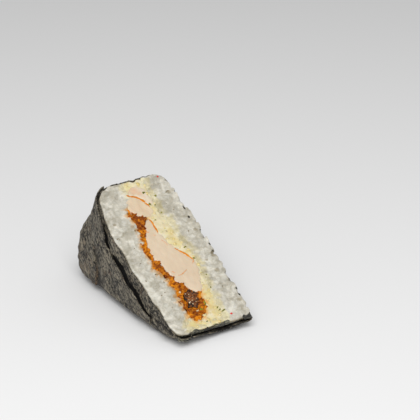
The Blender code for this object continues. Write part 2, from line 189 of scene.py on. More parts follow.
# Cloudy mottling in two sizes between two colours, which every food here shows.
mottle = bpy.data.node_groups.new("soft_mottle", "ShaderNodeTree")
group_sockets(mottle, (("Size mm", "Float", 3.0), ("Contrast", "Float", 0.5),
                       ("Dark", "Color", (0.4, 0.4, 0.4, 1)), ("Light", "Color", (0.6, 0.6, 0.6, 1)),
                       ("Stretch", "Vector", (1, 1, 1))), (("Color", "Color"), ("Mask", "Float")))
given = wire(mottle, "NodeGroupInput").outputs
coords = wire(mottle, "ShaderNodeTexCoord").outputs["Object"]
shaped = wire(mottle, "ShaderNodeVectorMath", {"operation": "MULTIPLY"}, at0=coords,
              at1=given["Stretch"]).outputs[0]
fine = calc(mottle, "DIVIDE", 1000.0, given["Size mm"])
small = wire(mottle, "ShaderNodeTexNoise", Vector=shaped, Scale=fine, Detail=4.0, Roughness=0.6)
large = wire(mottle, "ShaderNodeTexNoise", Vector=shaped, Scale=calc(mottle, "MULTIPLY", fine, 0.28),
             Detail=2.0)
both = calc(mottle, "ADD", small.outputs[0], large.outputs[0])
swing = calc(mottle, "MULTIPLY", calc(mottle, "SUBTRACT", both, 1.0), given["Contrast"])
level = calc(mottle, "ADD", swing, 0.5, clamp=True)
tone = wire(mottle, "ShaderNodeMix", {"data_type": "RGBA"}, at0=level, at6=given["Dark"],
            at7=given["Light"])
wire(mottle, "NodeGroupOutput", Color=tone.outputs[2], Mask=level)


# What tints a food here and there, as marks on its mesh: the orange sauce and the egg mayonnaise
# that soak in, painted shade in the hollows between its lumps, and lumps that are clearer than others.
STAINS = {"sauced": (1.0, 0.6, 0.26, 1.0), "creamed": (1.0, 0.94, 0.68, 1.0),
          "hollow": (0.66, 0.61, 0.52, 1.0), "clear": (0.8, 0.8, 0.79, 1.0)}


def food(name, dark, light, size, contrast, roughness, stretch=(1, 1, 1), depth=0.0,
         spread=(1.0, 0.7, 0.5), relief=0.0, relief_size=0.8, coat=0.0, gloss=0.5, stains=STAINS):
    """A moist, slightly translucent food surface in two mottled colours."""
    material = bpy.data.materials.new(name)
    material.use_nodes = True
    tree = material.node_tree
    shader = tree.nodes["Principled BSDF"]
    shader.inputs["Roughness"].default_value = roughness
    shader.inputs["Specular IOR Level"].default_value = gloss
    shader.inputs["Coat Weight"].default_value = coat
    shader.inputs["Coat Roughness"].default_value = 0.3
    shader.inputs["Subsurface Weight"].default_value = depth
    shader.inputs["Subsurface Radius"].default_value = spread
    shader.inputs["Subsurface Scale"].default_value = MM
    shade = wire(tree, "ShaderNodeGroup", {"node_tree": mottle}, Size_mm=size, Contrast=contrast,
                 Dark=rgb(*dark), Light=rgb(*light), Stretch=stretch)
    color = shade.outputs["Color"]
    for stain, tint in stains.items():
        amount = wire(tree, "ShaderNodeAttribute", {"attribute_name": stain}).outputs["Fac"]
        color = wire(tree, "ShaderNodeMix", {"data_type": "RGBA", "blend_type": "MULTIPLY"},
                     at0=amount, at6=color, at7=tint).outputs[2]
    tree.links.new(color, shader.inputs["Base Color"])
    if relief:
        coords = wire(tree, "ShaderNodeTexCoord").outputs["Object"]
        shaped = wire(tree, "ShaderNodeVectorMath", {"operation": "MULTIPLY"}, at0=coords,
                      at1=stretch).outputs[0]
        grain = wire(tree, "ShaderNodeTexNoise", Vector=shaped, Scale=1000 / relief_size, Detail=3.0)
        bump = wire(tree, "ShaderNodeBump", Strength=1.0, Distance=relief * MM, Height=grain.outputs[0])
        tree.links.new(bump.outputs[0], shader.inputs["Normal"])
    return material


cooked_rice = food("cooked_rice", (184, 178, 162), (221, 217, 205), 1.8, 2.8, 0.4, depth=0.3,
                   spread=(1.2, 1.0, 0.8), relief=0.06, relief_size=0.8)
# Sliced grains that have run together: cells as long as a grain, some white, some clear, with a
# faint painted shade in the groove between two of them here and there.
tree = cooked_rice.node_tree
shader = tree.nodes["Principled BSDF"]
coords = wire(tree, "ShaderNodeTexCoord").outputs["Object"]
bend = wire(tree, "ShaderNodeTexNoise", Vector=coords, Scale=150.0, Detail=1.0).outputs["Color"]
bent = wire(tree, "ShaderNodeVectorMath", {"operation": "MULTIPLY_ADD"}, at0=bend,
            at1=(0.009, 0.009, 0.009), at2=coords).outputs[0]
drawn = wire(tree, "ShaderNodeMapping", {"vector_type": "TEXTURE"}, Vector=bent, Rotation=(0.0, 0.0, 0.7),
             Scale=(0.0036, 0.0018, 0.0024)).outputs[0]
cells = wire(tree, "ShaderNodeTexVoronoi", Vector=drawn, Scale=1.0)
seams = wire(tree, "ShaderNodeTexVoronoi", {"feature": "DISTANCE_TO_EDGE"}, Vector=drawn, Scale=1.0)
own_tone = wire(tree, "ShaderNodeSeparateColor", Color=cells.outputs["Color"]).outputs[0]
# Painted shade along the grooves between grain cells.
groove_shade = calc(tree, "SUBTRACT", 1.0, calc(tree, "MULTIPLY", seams.outputs["Distance"], 7.0, clamp=True))
plain = shader.inputs["Base Color"].links[0].from_socket
toned = wire(tree, "ShaderNodeMix", {"data_type": "RGBA", "blend_type": "MULTIPLY"}, at0=own_tone,
             at6=plain, at7=(0.87, 0.87, 0.87, 1.0)).outputs[2]
parted = wire(tree, "ShaderNodeMix", {"data_type": "RGBA", "blend_type": "MULTIPLY"},
              at0=calc(tree, "MULTIPLY", groove_shade, own_tone), at6=toned, at7=(0.84, 0.82, 0.76, 1.0)).outputs[2]
tree.links.new(parted, shader.inputs["Base Color"])
core = evened(closed_copy("rice", "rice_core"), 1.1)
for vertex in core.data.vertices:
    s, x, q = spot(vertex.co)
    if q < CORE_TOP:
        vertex.co -= CUT_NORMAL * (CORE_TOP - q) * MM
hand_over(core, cooked_rice, "rice_white", "rice")

# ---- The rice at the cut: grains 5 mm long, swollen and sticky, which the knife sliced and
# smeared almost to one plane. At the +X rim, where the wrap shrank back, whole ones bulge.
TOP_DEPTH = 5.0
GRAIN_HALF = (2.4, 1.25, 1.1)
GRAIN_LAYERS = ((3, 2.1), (8, 2.5))  # seed and spacing
SHADED_GAPS = ((24.1, 14.6, 0.9), (45.3, 16.2, 0.7), (24.8, 9.6, 0.6), (66.8, 14.9, 0.9), (8.2, 16.1, 0.8),
              (57.5, -15.0, 0.6), (30.0, 13.0, 0.5))  # s, x and size of gaps among the grains, painted darker as shade
RIM_GRAINS = ((21, 2.7), (33, 3.3))
SWELL, DEEP_SLIM = 2.1, 1.9
LEFT_DRAW, BASE_DRAW = 1.8, 1.3
EDGE_ROUND = ((4.5, 5.5, 6.5, 9.0), (2.2, 4.0, 5.5, 6.5))  # -X and +X: tip, side, heel, base
RIPPLE, RIPPLE_LENGTH = 0.55, 9.0
RIPPLE_STARTS = ((0.0, 0.0, 0.0), (31.4, 15.9, 26.5), (58.9, 79.3, 23.8))


def half_thickness(side, s, q):
    """Outside of the wrap on one side, -1 or 1, from the middle plane."""
    along = min(1.0, max(0.0, (s + 6.0) / 90.0))
    fade = 1.0 - smooth((q - 8.0) / 16.0)
    draw = LEFT_DRAW * smooth((s - 58.0) / 14.0) * fade if side < 0 else 0.0
    return END_HALF + SWELL * math.sin(math.pi * along) ** 0.8 - draw - DEEP_SLIM * (q / 40.0) ** 2


def base_draw(s, x):
    """How far the base draws in towards the -X side."""
    return BASE_DRAW * smooth((2.0 - x) / 18.0) * smooth((s - 50.0) / 25.0)


def ripple(p):
    """The pressed unevenness of the wrapped block; none on the floor."""
    rise = smooth(((p[0] + VERTEX) * SIN - p[2] * COS - 1.5) / 5.0)
    at = Vector(p) / RIPPLE_LENGTH
    wave = [noise.noise(at + Vector(shift)) * RIPPLE * rise for shift in RIPPLE_STARTS]
    return Vector((p[0] - base_draw(p[0], p[1]) * rise + wave[0], p[1] + wave[1],
                   p[2] + wave[2] * smooth(p[2] / RIPPLE_LENGTH)))


def grain_shape():
    form = bmesh.new()
    bmesh.ops.create_uvsphere(form, u_segments=10, v_segments=8, radius=1.0)
    for vertex in form.verts:
        z, y, x = vertex.co
        x = math.copysign(abs(x) ** 0.85, x)
        vertex.co = Vector((x * GRAIN_HALF[0], y * GRAIN_HALF[1] + 0.2 * x * x, z * GRAIN_HALF[2])) * MM
    bmesh.ops.recalc_face_normals(form, faces=form.faces)
    mesh = bpy.data.meshes.new("grain")
    form.to_mesh(mesh)
    form.free()
    return link(mesh, "grain")


def bed_of(piece, margin, name, keep=lambda s, x: True):
    """The part of a piece's cut side that lies further than a margin from its edges."""
    form = bmesh.new()
    form.from_mesh(piece.data)
    side = [f for f in form.faces if f.normal.dot(CUT_NORMAL) < 0.6 or spot(f.calc_center_median())[2] > 2.0]
    bmesh.ops.delete(form, geom=side, context="FACES")
    rim = [v.co.copy() for v in form.verts if v.is_boundary]
    tree = kdtree.KDTree(len(rim))
    for i, co in enumerate(rim):
        tree.insert(co, i)
    tree.balance()
    gone = [f for f in form.faces if tree.find(f.calc_center_median())[2] < margin * MM
            or not keep(*spot(f.calc_center_median())[:2])]
    bmesh.ops.delete(form, geom=gone, context="FACES")
    mesh = bpy.data.meshes.new(name)
    form.to_mesh(mesh)
    form.free()
    return link(mesh, name)


# A tree that strews one shape over a bed, each turned about the bed's normal, tilted and sized,
# and marked with a shade of its own.
strew = bpy.data.node_groups.new("strew", "GeometryNodeTree")
group_sockets(strew, (), (("Geometry", "Geometry"),))
strew.interface.new_socket("Geometry", in_out="INPUT", socket_type="NodeSocketGeometry")
for title, kind in (("Shape", "Object"), ("Spacing", "Float"), ("Density", "Float"), ("Tilt", "Float"),
                    ("Smallest", "Float"), ("Largest", "Float"), ("Seed", "Int"), ("Finish", "Material")):
    strew.interface.new_socket(title, in_out="INPUT", socket_type="NodeSocket" + kind)
given = wire(strew, "NodeGroupInput").outputs
points = wire(strew, "GeometryNodeDistributePointsOnFaces", {"distribute_method": "POISSON"},
              Mesh=given["Geometry"], Distance_Min=given["Spacing"], Density_Max=given["Density"],
              Seed=given["Seed"])
shape = wire(strew, "GeometryNodeObjectInfo", Object=given["Shape"])
back = calc(strew, "MULTIPLY", given["Tilt"], -1.0)
least = wire(strew, "ShaderNodeCombineXYZ", X=back, Y=back, Z=-math.pi)
most = wire(strew, "ShaderNodeCombineXYZ", X=given["Tilt"], Y=given["Tilt"], Z=math.pi)
turn = wire(strew, "FunctionNodeRandomValue", {"data_type": "FLOAT_VECTOR"}, at0=least.outputs[0],
            at1=most.outputs[0], Seed=given["Seed"])
size = wire(strew, "FunctionNodeRandomValue", {"data_type": "FLOAT"}, at2=given["Smallest"],
            at3=given["Largest"], Seed=given["Seed"])
set_down = wire(strew, "GeometryNodeInstanceOnPoints", Points=points.outputs["Points"],
                Instance=shape.outputs["Geometry"], Rotation=points.outputs["Rotation"],
                Scale=size.outputs[1])
turned = wire(strew, "GeometryNodeRotateInstances", Instances=set_down.outputs[0],
              Rotation=turn.outputs[0])
own = wire(strew, "FunctionNodeRandomValue", {"data_type": "FLOAT"}, at2=0.0, at3=1.0, Seed=7)
marked = wire(strew, "GeometryNodeStoreNamedAttribute", {"data_type": "FLOAT", "domain": "INSTANCE"},
              Geometry=turned.outputs[0], Name="shaded", Value=own.outputs[1])
real = wire(strew, "GeometryNodeRealizeInstances", Geometry=marked.outputs[0])
finish = wire(strew, "GeometryNodeSetMaterial", Geometry=real.outputs[0], Material=given["Finish"])
wire(strew, "NodeGroupOutput", Geometry=finish.outputs[0])


def scatter(bed, shape, finish, spacing, tilt, sizes, seed, density=6e6):
    """Strew a shape over a bed; the bed becomes the strewn pieces."""
    layer = bed.modifiers.new("Strew", "NODES")
    layer.node_group = strew
    wanted = {"Shape": shape, "Spacing": spacing * MM, "Density": density, "Tilt": tilt,
              "Smallest": sizes[0], "Largest": sizes[1], "Seed": seed, "Finish": finish}
    for item in strew.interface.items_tree:
        if item.in_out == "INPUT" and item.name in wanted:
            layer[item.identifier] = wanted[item.name]
    return bake(bed)


def join(name, things):
    form = bmesh.new()
    for thing in things:
        form.from_mesh(thing.data)
        bpy.data.objects.remove(thing)
    mesh = bpy.data.meshes.new(name)
    form.to_mesh(mesh)
    form.free()
    mesh.shade_smooth()
    return link(mesh, name)


def knife(s, x):
    """Height of the sliced rice; it swells where the wrap has drawn back."""
    return 0.3 + 0.12 * lumps(s, x, 2.3, 5.0) + 0.3 * smooth((x - 13.5) / 3.0)


def press(piece, give):
    """Press what stands above the knife's plane nearly flat, and what leans on the wrap."""
    for vertex in piece.data.vertices:
        s, x, q = spot(vertex.co)
        over = -q - knife(s, x)
        if over > 0.0:
            q += over * (1.0 - give)
        bulge = smooth((x - 10.0) / 6.0) * smooth((1.6 - q) / 1.2)  # out over the wrap's edge
        wall = 0.5 - 0.4 * bulge
        s += base_draw(s, x)
        base = s > 38.0
        turn = EDGE_ROUND[x > 0][3 * base] - wall * base
        end = BASE - wall if base else RICE_TIP + 0.1
        ds = max(0.0, (s - end) * (1.0 if base else -1.0) + turn)
        dx = max(0.0, abs(x) - half_thickness(math.copysign(1.0, x), s, 0.0) + wall + turn)
        far = math.hypot(ds, dx)
        if far > turn:
            less = (turn + (far - turn) * (0.12 + 0.06 * bulge)) / far
            s -= (1.0 if base else -1.0) * ds * (1.0 - less)
            x -= math.copysign(dx * (1.0 - less), x)
        vertex.co = place(*ripple((s, x, q)))


slab = evened(closed_copy("rice", "rice_slab", TOP_DEPTH), 0.6, grow=0.6)
for vertex in slab.data.vertices:
    s, x, q = spot(vertex.co)
    low = -0.15 + 0.6 * smooth((x - 13.0) / 3.0)
    if q < low:
        vertex.co -= CUT_NORMAL * (low - q) * MM
grain = grain_shape()
layers = [scatter(bed_of(slab, 1.0, "grains"), grain, cooked_rice, spacing, 0.5, (0.8, 1.12), seed)
          for seed, spacing in GRAIN_LAYERS]
for seed, spacing in RIM_GRAINS:
    rim = bed_of(slab, 0.3, "rim_grains", lambda s, x: x > 13.0 and 3.0 < s < 76.0)
    layers.append(scatter(rim, grain, cooked_rice, spacing, 0.8, (0.95, 1.3), seed))
centres = []
for layer in layers:
    each = len(grain.data.vertices)
    spots = [vertex.co for vertex in layer.data.vertices]
    centres += [sum(spots[i:i + each], Vector()) / each for i in range(0, len(spots), each)]
grains = join("rice_grains", layers)
press(grains, 0.18)
rice_top = evened(join("rice_top", [slab, grains]), 0.34, soften=1)
nearest = kdtree.KDTree(len(centres))
for i, co in enumerate(centres):
    nearest.insert(co, i)
nearest.balance()
hollow = rice_top.data.attributes.new("hollow", "FLOAT", "POINT").data
clear = rice_top.data.attributes.new("clear", "FLOAT", "POINT").data
# Painted shade: darker where the surface lies below the knife's plane and in the listed gaps among the grains; each
# grain also gets a random clear tone of its own.
for vertex, deep, own in zip(rice_top.data.vertices, hollow, clear):
    s, x, q = spot(vertex.co)
    gap = max(smooth(1.5 - math.hypot(s - a, 0.8 * (x - b)) / r) for a, b, r in SHADED_GAPS)
    deep.value = min(1.5, smooth((knife(s, x) - 0.1 + q) / 0.7) + gap)
    which = nearest.find(vertex.co)[1]
    own.value = 0.5 + noise.noise(Vector((which * 1.7, 0.3, 0.0)))
hand_over(rice_top, cooked_rice, "rice_white", "rice")
bpy.data.objects.remove(grain)

# ---- The chicken: three pieces of fried breast meat that the knife went through, pale, close
# and moist, with faint fibres along them. The smallest piece, at the base, is pinker.
MEAT = {"chicken_main": ((200, 178, 150), (218, 200, 175)),
        "chicken_upper": ((202, 177, 147), (218, 200, 173)),
        "chicken_tip": ((204, 186, 160), (216, 201, 178))}
PINK = ((74.0, -0.6, 2.6), (71.8, 1.2, 2.0), (70.0, 2.9, 1.2))  # s, x and radius


def level_top(piece, top):
    """Lay the cut side of a piece at its height above the cut plane."""
    highest = max(-spot(vertex.co)[2] for vertex in piece.data.vertices)
    for vertex in piece.data.vertices:
        s, x, q = spot(vertex.co)
        vertex.co = place(s, x, q - (top(s, x) - highest) * smooth(1.0 - (q + highest) / 1.5))


def fray(piece, much, size):
    """Make the edges of the cut side uneven."""
    for vertex in piece.data.vertices:
        s, x, q = spot(vertex.co)
        near = much * smooth(1.0 - (q - 1.0) / 2.0)
        vertex.co = place(s + near * lumps(s, x, size, 3.0), x + near * lumps(s, x, size, 7.0), q)


meats = []
for node, (dark, light) in MEAT.items():
    meat = evened(closed_copy(node, node + "_meat"), 0.45, grow=0.5)
    fray(meat, 0.9, 2.6)
    level_top(meat, lambda s, x: 0.3 + 0.16 * lumps(s / 2, x, 2.0) + 0.05 * lumps(s, x, 0.8))
    rosy = meat.data.attributes.new("rosy", "FLOAT", "POINT").data
    for vertex, amount in zip(meat.data.vertices, rosy):
        s, x, q = spot(vertex.co)
        amount.value = max(smooth(1.4 - math.hypot(s - a, x - b) / r) for a, b, r in PINK)
    hand_over(meat, food(node + "_look", dark, light, 2.6, 1.1, 0.4, stretch=(1.4, 0.5, 0.8),
                         depth=0.35, spread=(1.4, 0.9, 0.6), relief=0.1, relief_size=0.9, coat=0.08,
                         stains={"rosy": (1.0, 0.84, 0.76, 1.0)}),
              "chicken_meat", node)
    meats.append(meat)

# ---- The fried crumb along the chicken, soaked in orange sauce: a thin crumbly layer, dark
# brown where it is thick and orange where it thins out, with loose crumbs on it.
CRUMB_SHADES = {"shaded": (0.62, 0.44, 0.22, 1.0)}
sauced_crumb = food("sauced_crumb", (128, 60, 2), (218, 134, 12), 1.2, 3.2, 0.6, depth=0.1,
                    relief=0.25, relief_size=0.5, gloss=0.2, stains=CRUMB_SHADES)
coat = evened(closed_copy("crumb_coat", "crumb_layer"), 0.4, grow=0.1)
fray(coat, 1.5, 1.7)
for vertex in coat.data.vertices:
    rough = 0.3 * noise.noise(vertex.co / (1.3 * MM)) + 0.2 * noise.noise(vertex.co / (0.6 * MM))
    vertex.co += (vertex.normal * 0.5 + CUT_NORMAL * 0.5) * rough * MM
hand_over(coat, sauced_crumb, "crumb_orange", "crumb_coat")


def crumb_shape(seed):
    """A small irregular crumb, 1 mm across."""
    form = bmesh.new()
    bmesh.ops.create_icosphere(form, subdivisions=1, radius=0.5 * MM)
    for vertex in form.verts:
        vertex.co *= 1.0 + 0.5 * noise.noise(vertex.co / (0.5 * MM) + Vector((seed, 0, 0)))
        vertex.co.z *= 0.75
    mesh = bpy.data.meshes.new("crumb")
    form.to_mesh(mesh)
    form.free()
    return link(mesh, "crumb")


crumb = crumb_shape(1.0)
crumbs = scatter(bed_of(coat, 0.0, "loose_crumbs"), crumb, sauced_crumb, 1.05, 1.5, (0.4, 1.5), 4)
hand_over(crumbs, sauced_crumb, "crumb_orange", "crumb_coat")

# ---- The dark lump of sauce and pepper in the crumb near the tip, coarse and grainy.
dark_sauce = food("dark_sauce", (16, 7, 2), (136, 78, 28), 0.9, 5.0, 0.45, relief=0.3,
                  relief_size=0.5, coat=0.15, gloss=0.4, stains={"shaded": (0.22, 0.17, 0.14, 1.0)})
lump = evened(closed_copy("sauce_lump", "dark_lump"), 0.35, grow=0.3)
fray(lump, 1.6, 1.7)
for vertex in lump.data.vertices:
    vertex.co += CUT_NORMAL * (0.25 + 0.35 * noise.noise(vertex.co / (0.9 * MM))) * MM
hand_over(lump, dark_sauce, "sauce_dark", "sauce_lump")
grit = scatter(bed_of(lump, 0.0, "dark_grit"), crumb, dark_sauce, 0.7, 1.5, (0.5, 1.2), 9)
hand_over(grit, dark_sauce, "sauce_dark", "sauce_lump")

# ---- The egg salad: chopped egg in mayonnaise between the chicken and the rice, pale yellow,
# soft and lumpy, richer where the yolk is, with crumbs of yolk in it.
egg_mayonnaise = food("egg_mayonnaise", (206, 192, 152), (219, 210, 182), 2.2, 2.6, 0.42, depth=0.3,
                      spread=(1.4, 1.0, 0.5), relief=0.12, relief_size=0.8, coat=0.1)
YOLKY = ((48.0, 5.6, 2.2), (44.1, 5.2, 1.6), (42.6, 2.4, 1.8), (41.9, 6.0, 2.2), (36.0, 8.6, 1.6),
         (61.0, 5.0, 1.8), (75.0, 0.0, 2.4), (72.5, 3.0, 1.6), (19.0, 5.0, 1.4), (14.5, 4.6, 2.6), (10.0, 3.6, 2.6),
         (5.5, 4.4, 2.2), (2.6, 1.0, 2.4), (2.4, -4.0, 2.2), (3.0, -8.0, 2.0))  # s, x and radius
egg = evened(closed_copy("egg_salad", "egg_mass"), 0.45, grow=0.95)
fray(egg, 1.4, 2.4)
shore = kdtree.KDTree(len(egg.data.vertices))
for i, vertex in enumerate(egg.data.vertices):
    if 0.4 < spot(vertex.co)[2] < 1.2:
        shore.insert(vertex.co, i)
shore.balance()


def egg_top(s, x):
    """It thins out over its neighbours."""
    inside = shore.find(place(s, x, 0.8))[2] / MM
    return 0.3 + 0.3 * lumps(s, x, 2.4) + 0.12 * lumps(s, x, 0.9) - 0.12 * smooth(1.0 - inside / 1.6)


level_top(egg, egg_top)
yolky = egg.data.attributes.new("creamed", "FLOAT", "POINT").data
for vertex, amount in zip(egg.data.vertices, yolky):
    s, x, q = spot(vertex.co)
    s = min(max(s, 0.45), 77.3)
    vertex.co = place(s, x, q)
    s += 1.6 * lumps(s, x, 1.8, 2.0)
    x += 1.6 * lumps(s, x, 1.8, 8.0)
    amount.value = max(0.15, *(smooth(1.4 - math.hypot(s - a, x - b) / r) for a, b, r in YOLKY))
hand_over(egg, egg_mayonnaise, "egg_yellow", "egg_salad")


def soak(piece, source, stain, reach, uneven):
    """Mark how much of a stain each place takes from a piece near it."""
    near = kdtree.KDTree(len(source.data.vertices))
    for i, vertex in enumerate(source.data.vertices):
        near.insert(vertex.co, i)
    near.balance()
    amounts = piece.data.attributes.new(stain, "FLOAT", "POINT").data
    for vertex, amount in zip(piece.data.vertices, amounts):
        span = reach * (1.0 + uneven * noise.noise(vertex.co / (1.6 * MM)))
        amount.value = smooth(1.0 - near.find(vertex.co)[2] / MM / max(0.1, span))


for piece in (rice_top, egg):
    soak(piece, coat, "sauced", 1.7, 1.8)
soak(rice_top, egg, "creamed", 2.2, 1.3)
marks = rice_top.data.attributes
for deep, pale, rich, spicy in zip(*(marks[mark].data for mark in ("hollow", "clear", "creamed",
                                                                   "sauced"))):
    deep.value *= 1.0 - max(rich.value, spicy.value)
    pale.value *= 1.0 - rich.value
yolk_crumb = food("yolk_crumb", (212, 194, 138), (222, 210, 170), 1.0, 2.0, 0.5, depth=0.3,
                  stains={"shaded": (1.0, 0.94, 0.74, 1.0)})
yolk = scatter(bed_of(egg, 0.6, "yolk_crumbs"), crumb, yolk_crumb, 2.4, 1.5, (0.9, 2.4), 12, 3e5)
for vertex in yolk.data.vertices:
    s, x, q = spot(vertex.co)
    above = -q - egg_top(s, x)
    if above > 0.0:
        vertex.co = place(s, x, q + 0.75 * above)
hand_over(yolk, yolk_crumb, "egg_yellow", "egg_salad")
bpy.data.objects.remove(crumb)

# ---- The fried skin of the chicken, seen edge on: thin orange lines along the pieces, and
# fainter ones where two pieces of meat lie against each other.
SKIN_LINES = (
    # s and x along it, width, strong or faint
    (((70.5, -2.9), (69.7, -1.8), (69.1, -0.1), (67.9, 1.3), (66.6, 2.3), (65.0, 2.9), (63.4, 3.6),
      (62.0, 3.9)), 1.2, True),
    (((56.5, 0.6), (55.1, 0.8), (53.7, 0.9), (51.8, 0.8), (50.4, 0.9), (49.0, 0.7)), 0.95, True),
    (((39.7, 3.3), (38.1, 4.4), (36.8, 5.4), (35.4, 6.4), (33.7, 7.1), (32.0, 8.1)), 0.85, True),
    (((32.0, 8.0), (31.0, 7.3), (30.2, 6.6)), 0.4, False),
    (((26.8, -2.0), (26.7, -0.7), (27.4, 1.1), (28.4, 2.9)), 0.45, False),
    (((50.5, -4.2), (50.3, -3.4), (50.2, -2.6)), 0.4, False),
    (((48.4, -1.8), (48.1, -1.2), (48.0, -0.7)), 0.35, False),
    (((29.3, -3.5), (28.9, -3.0), (28.4, -2.5)), 0.4, False),
    (((45.2, 0.0), (43.4, 1.0), (41.6, 1.2)), 0.25, False),
)


def surface_of(pieces):
    spots, faces = [], []
    for piece in pieces:
        first = len(spots)
        spots += [vertex.co.copy() for vertex in piece.data.vertices]
        faces += [[first + i for i in face.vertices] for face in piece.data.polygons]
    return bvhtree.BVHTree.FromPolygons(spots, faces)


top_surface = surface_of([rice_top, coat, lump, egg, *meats])


def height_at(s, x):
    """Height of the food above the cut plane."""
    hit = top_surface.ray_cast(place(s, x, -6.0), -CUT_NORMAL)[0]
    return -spot(hit)[2] if hit else 0.3


def curve_through(points, steps):
    """A smooth open curve through the points."""
    ends = [2 * Vector(points[0]) - Vector(points[1]), *map(Vector, points),
            2 * Vector(points[-1]) - Vector(points[-2])]
    curve = []
    for a, b, c, d in zip(ends, ends[1:], ends[2:], ends[3:]):
        for step in range(steps):
            t = step / steps
            curve.append(0.5 * (2 * b + (c - a) * t + (2 * a - 5 * b + 4 * c - d) * t * t
                                + (3 * b - a - 3 * c + d) * t ** 3))
    return curve + [Vector(points[-1])]


def strand(form, line, width, high, sink=0.3):
    """Lay a closed rounded strand on the food along a line, thin at both ends."""
    curve = curve_through(line, 5)
    rings = []
    for i, point in enumerate(curve):
        t = i / (len(curve) - 1)
        ahead = (curve[min(i + 1, len(curve) - 1)] - curve[max(i - 1, 0)]).normalized()
        side = Vector((-ahead.y, ahead.x))
        half = 0.5 * width * (0.25 + 0.75 * math.sin(math.pi * min(1.0, max(0.0, t))) ** 0.5)
        half *= 1.0 + 0.7 * lumps(point.x, point.y, 0.9, 4.0)
        level = height_at(*point)
        ring = []
        for k in range(8):
            turn = math.tau * k / 8
            at = point + side * half * math.cos(turn)
            lift = math.sin(turn)
            ring.append(form.verts.new(place(at.x, at.y, -level - (high if lift > 0 else sink) * lift)))
        rings.append(ring)
    for one, two in zip(rings, rings[1:]):
        for k in range(8):
            form.faces.new((one[k], one[(k + 1) % 8], two[(k + 1) % 8], two[k]))
    form.faces.new(rings[0])
    form.faces.new(rings[-1])


def gather(name, build):
    """Make one closed mesh of what a function adds."""
    form = bmesh.new()
    build(form)
    bmesh.ops.recalc_face_normals(form, faces=form.faces)
    mesh = bpy.data.meshes.new(name)
    form.to_mesh(mesh)
    form.free()
    mesh.shade_smooth()
    return link(mesh, name)


orange_skin = food("orange_skin", (196, 108, 16), (224, 146, 44), 1.2, 2.0, 0.5, gloss=0.1)
faint_skin = food("faint_skin", (214, 140, 86), (228, 172, 126), 1.0, 2.0, 0.4, depth=0.2, gloss=0.4)
for strong, finish_of, title in ((True, orange_skin, "skin_lines"), (False, faint_skin, "faint_lines")):
    lines = [line for line in SKIN_LINES if line[2] == strong]
    skin = gather(title, lambda form: [strand(form, line[0], line[1], 0.12) for line in lines])
    hand_over(skin, finish_of, "crumb_orange", "crumb_coat")

# ---- The herbs and seasoning: chopped dry parsley in the egg and the rice, two flakes of red
# pepper, and dark specks of seaweed that the knife carried into the rice.
PARSLEY = (
    # s, x, length, width, turn in degrees across the cut
    (69.8, 4.8, 1.5, 0.75, 70), (66.6, 8.8, 1.1, 0.9, 20), (63.6, 4.4, 1.2, 0.8, 40),
    (57.8, 6.8, 0.7, 0.5, 10), (55.2, 2.7, 0.7, 0.6, 0), (38.8, 7.6, 1.4, 0.5, 75),
    (32.6, 8.5, 0.9, 0.8, 0), (11.4, 1.7, 1.6, 0.8, 10), (10.4, 1.2, 1.2, 0.7, 60),
    (9.0, -1.6, 1.5, 0.9, 80), (8.6, -0.7, 0.8, 0.6, 20), (7.7, 5.6, 1.2, 0.45, 50),
    (6.6, 6.2, 1.6, 0.5, 62), (5.6, 7.3, 1.7, 0.55, 75), (3.1, -1.8, 1.0, 0.4, 80),
    (62.3, 6.4, 0.6, 0.5, 0), (17.2, 7.8, 0.9, 0.4, 20), (23.4, 9.2, 0.7, 0.5, 40))
PEPPER = ((75.6, 14.4, 0.95, 0.75, 0), (3.2, 9.5, 1.1, 0.8, 60))
SPECKS = ((50.4, -17.3, 1.0, 0.35, 60), (49.8, -16.7, 0.6, 0.3, 20), (29.7, -10.7, 1.0, 0.4, 80),
          (29.3, -10.0, 0.5, 0.4, 0), (25.2, -9.4, 0.6, 0.5, 0), (20.5, -11.5, 0.5, 0.5, 0),
          (19.6, -13.4, 0.6, 0.4, 0), (27.9, -16.1, 0.9, 0.4, 20), (52.4, -8.3, 0.8, 0.5, 30),
          (44.2, -12.8, 0.5, 0.3, 50), (13.2, -12.2, 0.5, 0.35, 0), (36.5, -14.0, 0.6, 0.3, 70),
          (66.9, 13.8, 1.0, 0.3, 70), (67.4, 14.8, 0.8, 0.3, 85), (45.5, 13.0, 0.7, 0.4, 0),
          (57.5, 12.4, 0.5, 0.4, 0), (16.2, 12.6, 0.6, 0.3, 30), (61.5, 11.0, 0.5, 0.3, 0))


def flake(form, s, x, long, wide, turn, lift=0.05):
    """A torn flake, curled a little, lying on the food."""
    form_of = bmesh.new()
    bmesh.ops.create_icosphere(form_of, subdivisions=2, radius=0.5)
    ways = math.radians(turn)
    level = height_at(s, x) + lift
    spots = {}
    for vertex in form_of.verts:
        a, b, c = vertex.co
        ragged = 1.0 + 0.9 * noise.noise(Vector((a * 2.2 + s, b * 2.2 + x, c)))
        a, b = a * long * ragged, b * wide * ragged
        at_s = s + a * math.cos(ways) - b * math.sin(ways)
        at_x = x + a * math.sin(ways) + b * math.cos(ways)
        spots[vertex] = form.verts.new(place(at_s, at_x, -level - c * 0.3 - 0.12 * b * b))
    for face in form_of.faces:
        form.faces.new([spots[vertex] for vertex in face.verts])
    form_of.free()


